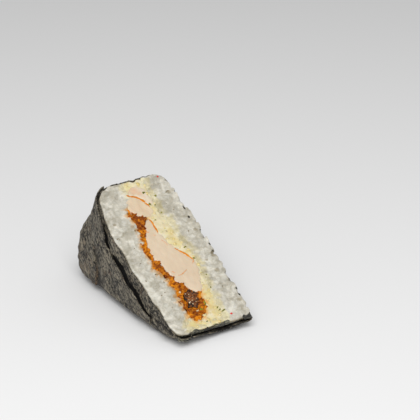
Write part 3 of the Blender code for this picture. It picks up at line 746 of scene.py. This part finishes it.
PALE_BITS = ((12.9, -4.4, 1.1, 0.8, 30), (11.9, -3.6, 0.8, 0.5, 80), (14.6, -2.2, 0.6, 0.4, 10),
             (12.6, -1.6, 0.6, 0.4, 60), (15.4, -3.4, 0.6, 0.4, 120), (16.4, -3.0, 0.5, 0.4, 40),
             (14.2, -4.2, 0.5, 0.4, 0), (11.4, -1.9, 0.5, 0.4, 100), (13.5, -3.0, 0.5, 0.4, 70),
             (15.8, -1.4, 0.5, 0.4, 20), (17.2, -4.0, 0.5, 0.4, 0), (13.8, -0.9, 0.5, 0.3, 50),
             (8.6, -3.2, 1.2, 0.7, 75), (60.9, -5.6, 1.0, 0.7, 20), (18.8, -5.6, 1.2, 0.8, 50))
SCRAPS = ((56.9, 17.0, 1.6, 0.7, 5), (52.2, 16.8, 1.8, 0.9, -5), (37.0, 18.2, 1.2, 0.6, 0),
          (33.7, 18.1, 1.3, 0.6, 10), (13.4, 17.6, 1.3, 0.6, 0), (10.5, 17.4, 1.4, 0.7, 0),
          (44.6, 18.0, 0.9, 0.5, 20), (66.5, 17.5, 0.8, 0.5, 0))
parsley = food("parsley", (78, 84, 10), (150, 148, 44), 0.6, 2.5, 0.55, gloss=0.2)
red_pepper = food("red_pepper", (200, 16, 10), (232, 48, 34), 0.8, 1.5, 0.4, depth=0.2)
dark_speck = food("dark_speck", (96, 86, 62), (146, 134, 106), 0.6, 2.0, 0.6, gloss=0.2)
pale_bit = food("pale_bit", (196, 160, 108), (232, 214, 178), 0.6, 2.0, 0.5, depth=0.2)
seaweed_scrap = food("seaweed_scrap", (22, 19, 14), (66, 60, 48), 0.6, 2.0, 0.6, gloss=0.2)
for title, flakes, finish_of, slot, node in (
        ("pale_bits", PALE_BITS, pale_bit, "sauce_dark", "sauce_lump"),
        ("seaweed_scraps", SCRAPS, seaweed_scrap, "seaweed_dry", "rice"),
        ("parsley_flakes", PARSLEY, parsley, "egg_yellow", "egg_salad"),
        ("pepper_flakes", PEPPER, red_pepper, "rice_white", "rice"),
        ("dark_specks", SPECKS, dark_speck, "rice_white", "rice")):
    lying = gather(title, lambda form: [flake(form, *one) for one in flakes])
    hand_over(lying, finish_of, slot, node)

# ---- The seaweed wrap: dry roasted sheets, paper thin, laid round the rice from face to face
# over its tip, side, heel and base. It is brittle, crinkled and fibrous, and the knife cut it.
FLOOR_TURN = math.pi / 2 - CUT_ANGLE
HEEL_RADIUS = 12.5
PATH_STEPS = (12, 110, 44, 46)  # steps round the tip, along the side, round the heel, up the base
FACE_ROWS, EDGE_ROWS, RIM_ROWS = 48, 8, 48
FOOT_IN = (5.0, 11.0)
SHEET = 0.4


def side_path():
    """(s, q), outward direction and edge roundings along the side, from the tip to the base."""
    tip_radius = (TIP + VERTEX) * SIN / (1.0 - SIN)
    tip_s, heel_s = TIP + tip_radius, BASE - HEEL_RADIUS
    heel_q = ((heel_s + VERTEX) * SIN - HEEL_RADIUS) / COS
    path = []
    for part, count in enumerate(PATH_STEPS):
        for step in range(count + (part == 3)):
            t = step / count
            turn = (t * FLOOR_TURN, FLOOR_TURN, FLOOR_TURN + (math.pi - FLOOR_TURN) * t, math.pi)[part]
            out = Vector((-math.cos(turn), math.sin(turn)))
            low = Vector((tip_s, 0.0)) + tip_radius * out
            high = Vector((heel_s, heel_q)) + HEEL_RADIUS * out
            point = low.lerp(high, (0.0, t, 1.0, 1.0)[part])
            if part == 3:
                point.y = heel_q * (1.0 - t)
            last = min(part + 1, 3)
            path.append((point, out, [edge[part] + (edge[last] - edge[part]) * t for edge in EDGE_ROUND]))
    return path


def skin_point(path, column, side, share, turn=0.0, width=1.0):
    """A place on the outside of the wrap, and the direction out of it, in s, x and q. It lies a
    share of the way over a face, turned over the edge, or a width of the way across the rim."""
    (s, q), out, rounds = path[column]
    along = column / (len(path) - 1)
    foot = (path[0][0].x + FOOT_IN[0]) * (1.0 - along) + (path[-1][0].x - FOOT_IN[1]) * along
    near, far = rounds[side > 0], rounds[side < 0]
    s0, q0 = s - out.x * near, q - out.y * near
    if share < 1.0:
        s, q = foot + (s0 - foot) * share, q0 * share
        return Vector((s, side * half_thickness(side, s, q), q)), Vector((0.0, side, 0.0))
    reach, lean = math.sin(turn), math.cos(turn)
    x = side * (half_thickness(side, s0, q0) - near + near * lean)
    other = -side * (half_thickness(-side, s - out.x * far, q - out.y * far) - far)
    away = Vector((out.x * reach, side * lean, out.y * reach))
    return Vector((s0 + out.x * near * reach, other + (x - other) * (1.0 + width) / 2.0,
                   q0 + out.y * near * reach)), away


def crinkle(p):
    """Fine dry creases of the sheet, longer along its fibres."""
    flat = smooth(((p[0] + VERTEX) * SIN - p[2] * COS) / 2.0)
    long = Vector((p[0] / 7.0, p[1] / 3.0, p[2] / 3.0))
    short = Vector((p[0] / 2.6, p[1] / 1.1, p[2] / 1.1))
    return (0.28 * noise.noise(long) + 0.12 * noise.noise(short)) * flat


def sheet(name, outer, inner):
    """A closed thin sheet between two matching grids of places."""
    rows, columns = len(outer), len(outer[0])
    count = rows * columns
    spots = []
    for grid, lowest in ((outer, 0.02), (inner, 0.12)):  # what would dip into the floor lies on it
        for line in grid:
            for p in line:
                spots.append(place(*p))
                spots[-1].z = max(spots[-1].z, lowest * MM)
    faces = []
    for r in range(rows - 1):
        for c in range(columns - 1):
            a = r * columns + c
            cell = (a, a + 1, a + columns + 1, a + columns)
            faces += [cell, tuple(i + count for i in reversed(cell))]
    loop = list(range(columns)) + [r * columns + columns - 1 for r in range(1, rows)]
    loop += [(rows - 1) * columns + c for c in range(columns - 2, -1, -1)]
    loop += [r * columns for r in range(rows - 2, 0, -1)]
    faces += [(b, a, a + count, b + count) for a, b in zip(loop, loop[1:] + loop[:1])]
    mesh = bpy.data.meshes.new(name)
    mesh.from_pydata(spots, [], faces)
    form = bmesh.new()
    form.from_mesh(mesh)
    bmesh.ops.recalc_face_normals(form, faces=form.faces)
    form.to_mesh(mesh)
    form.free()
    mesh.shade_smooth()
    return link(mesh, name)


# Fibres and pits of pressed seaweed: streaks along the sheet, darker holes, a brown tint.
weed = bpy.data.node_groups.new("seaweed_fibre", "ShaderNodeTree")
group_sockets(weed, (("Dark", "Color", (0.02, 0.02, 0.02, 1)), ("Light", "Color", (0.2, 0.2, 0.2, 1)),
                     ("Brown", "Color", (0.1, 0.05, 0.02, 1)), ("Contrast", "Float", 2.0)),
              (("Color", "Color"), ("Height", "Float"), ("Roughness", "Float")))
given = wire(weed, "NodeGroupInput").outputs
coords = wire(weed, "ShaderNodeTexCoord").outputs["Object"]
normal = wire(weed, "ShaderNodeNewGeometry").outputs["True Normal"]
sideways = wire(weed, "ShaderNodeSeparateXYZ", Vector=normal).outputs[0]
on_face = calc(weed, "GREATER_THAN", calc(weed, "ABSOLUTE", sideways), 0.6)
wander = wire(weed, "ShaderNodeTexNoise", Vector=coords, Scale=70.0, Detail=1.0).outputs["Color"]
coords_bent = wire(weed, "ShaderNodeVectorMath", {"operation": "MULTIPLY_ADD"}, at0=wander,
                   at1=(0.008, 0.008, 0.008), at2=coords).outputs[0]
levels = []
for size, stretch in ((0.9, 0.2), (0.5, 0.4)):
    along = wire(weed, "ShaderNodeMapping", {"vector_type": "TEXTURE"}, Vector=coords_bent,
                 Rotation=(CUT_ANGLE + 0.4, 0.0, 0.0), Scale=(1.0, 1.0 / stretch, 1.0)).outputs[0]
    across = wire(weed, "ShaderNodeMapping", {"vector_type": "TEXTURE"}, Vector=coords,
                  Scale=(1.0 / stretch, 1.0, 1.0)).outputs[0]
    which = wire(weed, "ShaderNodeMix", {"data_type": "VECTOR"}, at0=on_face, at4=across,
                 at5=along).outputs[1]
    levels.append(wire(weed, "ShaderNodeTexNoise", Vector=which, Scale=1000 / size, Detail=3.0,
                       Roughness=0.65).outputs[0])
cloud = calc(weed, "ADD", calc(weed, "MULTIPLY", wire(weed, "ShaderNodeTexNoise", Vector=coords,
                                                      Scale=160.0, Detail=3.0).outputs[0], 0.35), 0.325)
total = calc(weed, "ADD", calc(weed, "ADD", levels[0], levels[1]), cloud)
streak = calc(weed, "ADD", calc(weed, "MULTIPLY", calc(weed, "SUBTRACT", total, 1.5),
                                given["Contrast"]), 0.5, clamp=True)
holes = wire(weed, "ShaderNodeTexNoise", Vector=coords, Scale=900.0, Detail=1.0).outputs[0]
pit = calc(weed, "MULTIPLY", calc(weed, "SUBTRACT", 0.43, holes), 12.0, clamp=True)
base = wire(weed, "ShaderNodeMix", {"data_type": "RGBA"}, at0=streak, at6=given["Dark"],
            at7=given["Light"]).outputs[2]
stain = wire(weed, "ShaderNodeTexNoise", Vector=coords, Scale=260.0, Detail=3.0).outputs[0]
brown = calc(weed, "MULTIPLY", calc(weed, "SUBTRACT", stain, 0.6), 5.0, clamp=True)
tinted = wire(weed, "ShaderNodeMix", {"data_type": "RGBA"}, at0=brown, at6=base,
              at7=given["Brown"]).outputs[2]
pitted = wire(weed, "ShaderNodeMix", {"data_type": "RGBA"}, at0=pit, at6=tinted,
              at7=given["Dark"]).outputs[2]
relief = calc(weed, "SUBTRACT", streak, calc(weed, "MULTIPLY", pit, 0.6))
dull = calc(weed, "ADD", calc(weed, "MULTIPLY", streak, -0.2), 0.75)
wire(weed, "NodeGroupOutput", Color=pitted, Height=relief, Roughness=dull)


def seaweed(name, dark, light, brown, contrast, relief):
    material = bpy.data.materials.new(name)
    material.use_nodes = True
    tree = material.node_tree
    shader = tree.nodes["Principled BSDF"]
    fibre = wire(tree, "ShaderNodeGroup", {"node_tree": weed}, Dark=rgb(*dark), Light=rgb(*light),
                 Brown=rgb(*brown), Contrast=contrast)
    bump = wire(tree, "ShaderNodeBump", Strength=1.0, Distance=relief * MM, Height=fibre.outputs["Height"])
    # Painted shade: a per-point mark turns the colour to near-black brown where the sheet lies under another, in a
    # crease or in a hollow.
    covered = wire(tree, "ShaderNodeAttribute", {"attribute_name": "covered"}).outputs["Fac"]
    browned = wire(tree, "ShaderNodeAttribute", {"attribute_name": "browned"}).outputs["Fac"]
    aged = wire(tree, "ShaderNodeMix", {"data_type": "RGBA", "blend_type": "MULTIPLY"}, at0=browned,
                at6=fibre.outputs["Color"], at7=(0.8, 0.56, 0.36, 1.0)).outputs[2]
    color = wire(tree, "ShaderNodeMix", {"data_type": "RGBA"}, at0=covered, at6=aged,
                 at7=rgb(14, 8, 4)).outputs[2]
    tree.links.new(color, shader.inputs["Base Color"])
    tree.links.new(fibre.outputs["Roughness"], shader.inputs["Roughness"])
    tree.links.new(bump.outputs[0], shader.inputs["Normal"])
    return material


dry_seaweed = seaweed("dry_seaweed", (26, 23, 16), (138, 129, 110), (88, 66, 46), 4.4, 0.4)
path = side_path()
across = [(-1.0, k / FACE_ROWS) for k in range(FACE_ROWS)]
across += [(-1.0, 1.0, math.pi / 2 * k / EDGE_ROWS) for k in range(EDGE_ROWS + 1)]
across += [(-1.0, 1.0, math.pi / 2, 1.0 - 2.0 * k / RIM_ROWS) for k in range(1, RIM_ROWS)]
across += [(1.0, *row[1:]) for row in reversed(across[:FACE_ROWS + EDGE_ROWS + 1])]
STRIP_EDGE = ((60.0, 0.0), (57.0, 0.6), (54.8, 2.5), (52.8, 4.6), (50.8, 6.4), (46.0, 5.6),
              (43.0, 4.7), (40.0, 4.0), (37.9, 4.5), (33.0, 5.9), (30.0, 5.5), (26.4, 5.6),
              (22.0, 6.0), (18.0, 6.4), (14.0, 6.0))  # s and q of the lip; past it the sheet lies in under the flap
SUNK = 0.8  # how far the sheet behind it lies in under the flap; its darkness there is painted shade
KNUCKLES = ((5.6, 3.0, 2.2, 0.9), (9.6, 4.6, 1.6, 0.35), (2.6, 3.2, 1.2, -0.3), (11.4, 6.4, 1.8, -0.5),
            (14.5, 9.0, 2.0, 0.35))  # s, q, radius and height of the crumples near the tip
CREASE = ((15.0, 6.0), (12.0, 4.8), (9.0, 2.6), (6.5, 1.3), (4.0, 0.9), (1.0, 0.7))  # s and q


def pinched(s):
    """Where the flap sticks to the lip and closes the slit."""
    return math.exp(-((s - 50.4) / 1.7) ** 4)


def crumple(p):
    return sum(high * math.exp(-((p[0] - s) ** 2 + (p[2] - q) ** 2) / wide ** 2)
               for s, q, wide, high in KNUCKLES) if p[1] < 0 else 0.0


TIP_SAG = ((18.0, 0.3), (15.0, 1.0), (13.5, 1.2), (10.5, 2.3), (7.2, 3.3), (4.0, 3.5), (-0.8, 2.7),
           (-5.0, 1.6), (-9.0, 0.2), (-12.0, 0.5), (-15.5, 0.8), (-18.0, 0.5))  # x, how far it hangs


def along_edge(edge, s):
    """The depth of an edge below the cut at s, from its corners in order from the base."""
    if s >= edge[0][0]:
        return edge[0][1]
    for (s1, q1), (s0, q0) in zip(edge, edge[1:]):
        if s0 <= s <= s1:
            return q0 + (q1 - q0) * (s - s0) / (s1 - s0)
    return edge[-1][1]


def mark_painted_shade(piece, amounts):
    """Paint shade on the parts of a sheet that lie under another or in a hollow, on both its faces."""
    shade = piece.data.attributes.new("covered", "FLOAT", "POINT").data
    for i, amount in enumerate(amounts):
        shade[i].value = shade[i + len(amounts)].value = amount


outer, inner, covered = [], [], []
for row in across:
    outer.append([])
    inner.append([])
    for column in range(len(path)):
        p, away = skin_point(path, column, *row)
        past = p[2] - along_edge(STRIP_EDGE, p[0]) - 0.15 * lumps(p[0], p[1], 1.3)
        sunk = smooth(past / 0.5) * (smooth((62.0 - p[0]) / 2.0) if p[2] < 6.0 else 1.0)
        sunk *= (1.0 - pinched(p[0])) * (row[0] < 0 and row[1] < 1.0) * smooth((p[0] - 12.0) / 3.0) * smooth((30.0 - column) / -6.0)
        p = ripple(p)
        ragged = smooth(1.0 - p[2] / 1.2) * (0.12 + 0.3 * lumps(p[0] * 1.6, p[1] * 1.6, 1.0, 9.0))
        shrunk = 1.6 + 0.9 * lumps(p[0], 0.0, 2.6, 4.0)
        shrunk *= smooth((p[1] - 13.0) / 2.0) * smooth((p[0] - 2.0) / 4.0) * smooth((74.0 - p[0]) / 4.0)
        worn = (0.3 + 0.5 * lumps(p[1], 0.0, 1.6, 6.0)) * smooth((p[0] - 73.0) / 2.0)
        worn += 2.0 * math.exp(-((p[1] + 16.0) / 3.0) ** 2) * smooth((p[0] - 70.0) / 4.0)
        sag = along_edge(TIP_SAG, p[1]) * smooth((3.0 - p[0]) / 3.0)
        sag *= 1.0 + 0.35 * lumps(p[1], 0.0, 0.6, 6.0) * smooth(p[1] / 2.0)
        p[2] += ragged + (shrunk + worn) * smooth(1.0 - p[2] / 3.0) + sag * smooth(1.0 - p[2] / 5.0)
        aside = (p[1] < 0.0) * smooth((15.0 - p[0]) / 3.0) * smooth((p[0] - 0.5) / 1.5)
        past = p[2] - along_edge(CREASE, p[0])
        # Painted shade along the crease of the crumpled tip on the -X side.
        fold = aside * math.exp(-(past / 0.35) ** 2)
        off = crinkle(p) + crumple(p) - SUNK * sunk + 0.5 * aside * (smooth(past / 0.5) - 0.5)
        # Painted shade: a ragged dark band along the torn edge at the tip, on the +X half.
        tip_edge_shade = smooth((p[1] - 0.0) / 2.0) * smooth((13.0 - p[1]) / 2.0) * smooth((2.0 - p[0]) / 1.0)
        tip_edge_shade *= smooth((along_edge(TIP_SAG, p[1]) + 1.6 - p[2]) / 0.6)
        tip_edge_shade *= smooth(1.1 + 1.4 * lumps(p[1], p[2], 0.8, 4.0))
        outer[-1].append(p + away * off)
        inner[-1].append(p + away * (off - SHEET))
        # Painted shade: darkest under the flap's free edge, along the tip crease, and along the torn tip edge.
        covered.append(max(smooth(sunk * 1.4 - 0.2), fold, 0.97 * tip_edge_shade))
wrap = sheet("wrap_sheet", outer, inner)
mark_painted_shade(wrap, covered)
hand_over(wrap, dry_seaweed, "seaweed_dry", "seaweed_wrap")

# ---- The loose flap: the outer layer of seaweed on the -X face. It laps over the wrap, its
# free edge gapes along the cut and its other edges go under the base, round the heel.
FLAP_EDGE = ((76.5, 3.4), (73.0, 2.4), (68.0, 0.9), (59.5, 0.8), (57.0, 1.6), (55.0, 3.2), (53.0, 5.4),
             (50.5, 6.8), (46.0, 6.2), (39.0, 5.5), (33.5, 6.5), (29.0, 6.1), (24.0, 6.4),
             (18.0, 6.2), (14.5, 5.6))  # s and q, from base to tip
FLAP_FIRST, FLAP_TURN_FROM, FLAP_TURN_OVER = 32, 122, 44
FLAP_ROWS, FLAP_EDGE_ROWS, SEARCH = 44, 8, 300
FLAP_GAP = 0.5


def gape(s):
    """How far the free edge stands off the wrap."""
    return 0.1 + 0.5 * math.exp(-((s - 31.0) / 15.0) ** 4) + 0.4 * math.exp(-((s - 57.0) / 3.5) ** 2)


HEEL_TEAR = ((31.0, 51.8), (27.0, 52.2), (23.5, 52.4), (20.0, 54.4), (16.5, 58.5), (13.0, 62.5),
             (9.0, 66.0))  # q and s of the torn edge of one more layer that comes round the heel


def torn_layer(p):
    """How far behind the torn edge a place is, in mm, and how strongly the layer shows there."""
    behind = p[0] - along_edge(HEEL_TEAR, p[2]) - 0.6 * lumps(p[2], 0.0, 1.4, 5.0)
    return behind, smooth((p[2] - 12.0) / 6.0)


outer = [[] for _ in range(FLAP_ROWS + FLAP_EDGE_ROWS + 1)]
inner = [[] for _ in outer]
browned = [[] for _ in outer]
for column in range(FLAP_FIRST, len(path)):
    face = [skin_point(path, column, -1.0, k / SEARCH)[0] for k in range(SEARCH)]
    first = next((k for k, p in enumerate(face) if p[2] >= along_edge(FLAP_EDGE, p[0])), SEARCH - 1)
    lift = gape(face[first][0])
    turn_end = math.radians(22 + 58 * smooth((column - FLAP_TURN_FROM) / FLAP_TURN_OVER))
    for row in range(len(outer)):
        v = min(1.0, row / FLAP_ROWS)
        share = first / SEARCH * (1.0 - v) + v
        turn = turn_end * max(0, row - FLAP_ROWS) / FLAP_EDGE_ROWS
        p, away = skin_point(path, column, -1.0, share, turn)
        p = ripple(p)
        stuck = pinched(p[0]) * smooth(1.0 - v * 8.0)
        behind, shows = torn_layer(p)
        off = (FLAP_GAP + lift * (1.0 - v) ** 1.5) * (1.0 - 0.85 * stuck) + 0.2 * math.sin(math.pi * v)
        off += crinkle(p) + 0.75 * shows * smooth(behind / 0.5) + 0.5 * crumple(p)
        rough = 0.35 * noise.noise(p / 1.8) * shows * smooth(behind / 2.0)
        off += rough
        browned[row].append(shows * smooth((p[2] - 18.0) / 4.0) * (0.85 * smooth(1.0 - abs(behind - 0.3) / 1.3) + 0.4 * smooth(behind)
                                     * smooth(0.5 + noise.noise(p / 2.6) * 1.5)))
        inner[row].append(p + away * off)
        outer[row].append(p + away * (off + SHEET))
flap = sheet("flap_sheet", outer, inner)
# Painted shade on the flap just past the torn layer's edge, where that layer stands proud and shades the sheet
# beside it.
shaded = []
for line in inner:
    for p in line:
        behind, shows = torn_layer(p)
        shaded.append((behind < 0.0) * shows * max(0.7 * smooth(1.0 + behind / 1.6),
                                                   0.65 * smooth(1.0 + behind / 9.0)))
mark_painted_shade(flap, shaded)
shade = flap.data.attributes.new("browned", "FLOAT", "POINT").data
amounts = [amount for line in browned for amount in line]
for i, amount in enumerate(amounts):
    shade[i].value = shade[i + len(amounts)].value = amount
hand_over(flap, dry_seaweed, "seaweed_dry", "seaweed_flap")

# ---- The tucked fold: the sheet's own edge, folded in against the rice at the tip. Its rim is
# wavy and still moist, and stands off as a lip over the dark hollow behind the wrap.
TUCK_FROM, TUCK_TO = -15.7, 6.6
TUCK_RIM = ((6.6, 1.1), (5.3, 1.3), (2.4, 0.8), (-0.1, 0.2), (-2.5, -0.2), (-4.8, -0.9), (-6.4, 0.1),
            (-8.8, 1.5), (-10.4, 0.6), (-12.0, -0.3), (-14.4, -0.7), (-16.2, 0.0))  # x, rise above the cut
TUCK_LIP = ((6.6, 0.4), (4.0, 0.7), (-0.8, 1.5), (-5.0, 1.9), (-7.0, 0.9), (-9.0, 0.1), (-10.5, 1.4),
            (-12.5, 2.2), (-16.2, 2.6))  # x, how deep the lip reaches below the cut
TUCK_THICK, TUCK_ROWS, TUCK_COLUMNS, TUCK_CORNER = 0.35, 30, 110, 3.3
moist_seaweed = seaweed("moist_seaweed", (10, 10, 5), (124, 120, 96), (60, 52, 34), 5.0, 0.4)
moist_seaweed.node_tree.nodes["Principled BSDF"].inputs["Coat Weight"].default_value = 0.6
moist_seaweed.node_tree.nodes["Principled BSDF"].inputs["Coat Roughness"].default_value = 0.25
rice_radius = ((RICE_TIP + VERTEX) * SIN - 1.2) / (1.0 - SIN)
outer, inner, covered = [], [], []
for row in range(-6, TUCK_ROWS + 1):
    outer.append([])
    inner.append([])
    for step in range(TUCK_COLUMNS + 1):
        x = TUCK_TO + (TUCK_FROM - TUCK_TO) * step / TUCK_COLUMNS
        rise = along_edge(TUCK_RIM, x) + 0.25 * lumps(x, 0.0, 0.9, 7.0)
        depth = -rise + (3.6 + rise) * (row + 6) / (TUCK_ROWS + 6)
        lip = along_edge(TUCK_LIP, x) + 0.2 * lumps(x, 0.0, 1.0, 8.0)
        off = 0.55 * smooth((depth + rise) / (lip + rise)) * (1.0 - smooth((depth - lip) / 0.35))
        off += 0.12 * lumps(x, depth, 0.8, 3.0)
        corner = max(0.0, -x - 12.9)
        back_off = TUCK_CORNER - math.sqrt(max(0.1, TUCK_CORNER ** 2 - corner ** 2))
        turn = math.asin(min(0.6, max(0.0, depth) / rice_radius))
        for grid, stand_off in ((outer, TUCK_THICK), (inner, 0.0)):
            radius = rice_radius + 0.3 + stand_off + off
            s = RICE_TIP + rice_radius - radius * math.cos(turn) + back_off
            s += 0.45 * (rise - 0.6) * smooth(0.5 - depth / 2.0)
            grid[-1].append(Vector((s, x, depth)))
        # Painted shade: below the lip the tucked sheet goes near black, as the hollow behind the wrap.
        covered.append(smooth((depth - lip - 0.1) / 0.25))
tuck = sheet("tucked_fold", outer, inner)
mark_painted_shade(tuck, covered)

# Its corner at the -X side hangs out over the wrap as a small pointed leaf.
LEAF_HANG = ((-8.8, -1.3), (-10.5, -0.5), (-12.5, 0.7), (-14.5, 1.7), (-15.4, 2.5), (-16.1, 3.8),
             (-16.8, 2.2), (-17.4, 0.4))  # x and how deep it hangs below the cut
tip_radius = (TIP + VERTEX) * SIN / (1.0 - SIN)
outer, inner = [], []
for row in range(15):
    outer.append([])
    inner.append([])
    for step in range(45):
        x = -8.6 - 8.8 * step / 44
        top = -along_edge(TUCK_RIM, x) + 0.1
        depth = top + (along_edge(LEAF_HANG, x) + 0.15 * lumps(x, 0.0, 0.7, 2.0) - top) * row / 14
        corner = max(0.0, -x - 14.0)
        back_off = 4.5 - math.sqrt(max(0.3, 4.5 ** 2 - corner ** 2))
        turn = math.asin(min(0.6, max(0.0, depth) / tip_radius))
        out = smooth((depth + 0.6) / 1.4) * smooth((-8.2 - x) / 1.5)
        for grid, stand_off in ((outer, 0.3), (inner, 0.0)):
            lying = RICE_TIP + back_off - 0.5 - stand_off
            hanging = TIP + tip_radius - (tip_radius + 0.5 + stand_off) * math.cos(turn) + back_off
            s = lying + (hanging - lying) * out - 0.25 * math.sin(x * 2.1) * out
            grid[-1].append(Vector((s, x, depth)))
leaf = sheet("corner_leaf", outer, inner)
mark_painted_shade(leaf, [0.0] * (15 * 45))
# At the +X corner a patch of it lies on the rice, painted near black to stand in for the shaded hollow there.
outer, inner = [], []
for row in range(13):
    outer.append([])
    inner.append([])
    for step in range(25):
        x = 13.2 + 4.0 * step / 24 + 0.5 * lumps(row, step, 6.0) * (step < 3)
        s = -1.0 + (1.7 + 0.9 * lumps(x, 0.0, 1.2)) * row / 12
        corner = math.hypot(max(0.0, -0.2 - s), max(0.0, x - 15.2))
        for grid, rise in ((outer, 0.6), (inner, 0.3)):
            grid[-1].append(Vector((s, x, 0.15 * corner ** 2 - rise - 0.08 * lumps(s, x, 0.8))))
corner_scrap = sheet("corner_scrap", outer, inner)
mark_painted_shade(corner_scrap, [0.7] * (13 * 25))
tuck = join("tucked_fold", [tuck, leaf, corner_scrap])
hand_over(tuck, moist_seaweed, "seaweed_dry", "seaweed_tuck")

# ---- A plain pale floor, soft studio light all round with one broad lamp, and the camera.
FLOOR_TONE = 0.81
floor_mesh = bpy.data.meshes.new("floor")
floor_mesh.from_pydata([Vector((x, y, 0.0)) for x, y in ((-3, -3), (3, -3), (3, 3), (-3, 3))], [],
                       [(0, 1, 2, 3)])
floor = link(floor_mesh, "floor")
paper = bpy.data.materials.new("studio_paper")
paper.use_nodes = True
paper.node_tree.nodes["Principled BSDF"].inputs["Base Color"].default_value = (
    FLOOR_TONE, FLOOR_TONE, FLOOR_TONE, 1.0)
paper.node_tree.nodes["Principled BSDF"].inputs["Roughness"].default_value = 0.9
paper.node_tree.nodes["Principled BSDF"].inputs["Specular IOR Level"].default_value = 0.0
floor.data.materials.append(paper)

world = bpy.data.worlds.new("studio")
world.use_nodes = True
world.node_tree.nodes["Background"].inputs["Color"].default_value = (1.0, 1.0, 1.0, 1.0)
world.node_tree.nodes["Background"].inputs["Strength"].default_value = 0.45
bpy.context.scene.world = world


def lamp(name, place, aim, size, power):
    light = bpy.data.lights.new(name, "AREA")
    light.size, light.energy = size, power
    made = bpy.data.objects.new(name, light)
    made.location = place
    made.rotation_euler = (Vector(aim) - Vector(place)).to_track_quat("-Z", "Y").to_euler()
    bpy.context.scene.collection.objects.link(made)


lamp("broad_lamp", (-0.34, -0.5, 0.75), (0.0, 0.0, 0.0), 0.8, 8.4)

azimuth, elevation = math.radians(-32.93), math.radians(22.22)
back = Vector((math.sin(azimuth) * math.cos(elevation), -math.cos(azimuth) * math.cos(elevation),
               math.sin(elevation)))
right = Vector((math.cos(azimuth), math.sin(azimuth), 0.0))
up = back.cross(right)
camera = bpy.data.objects.new("camera", bpy.data.cameras.new("camera"))
camera.data.sensor_width = 36.0
camera.data.lens = 18.0 / math.tan(math.radians(16.24 / 2))
camera.data.clip_start = 0.01
aim = start + Vector((0.0, 0.04899, 0.0))
turn = Matrix((right, up, back)).transposed().to_4x4()
camera.matrix_world = Matrix.Translation(aim + back * 0.6 + right * 0.0202 + up * 0.0363) @ turn
bpy.context.scene.collection.objects.link(camera)
bpy.context.scene.camera = camera
bpy.context.scene.view_settings.view_transform = "Standard"
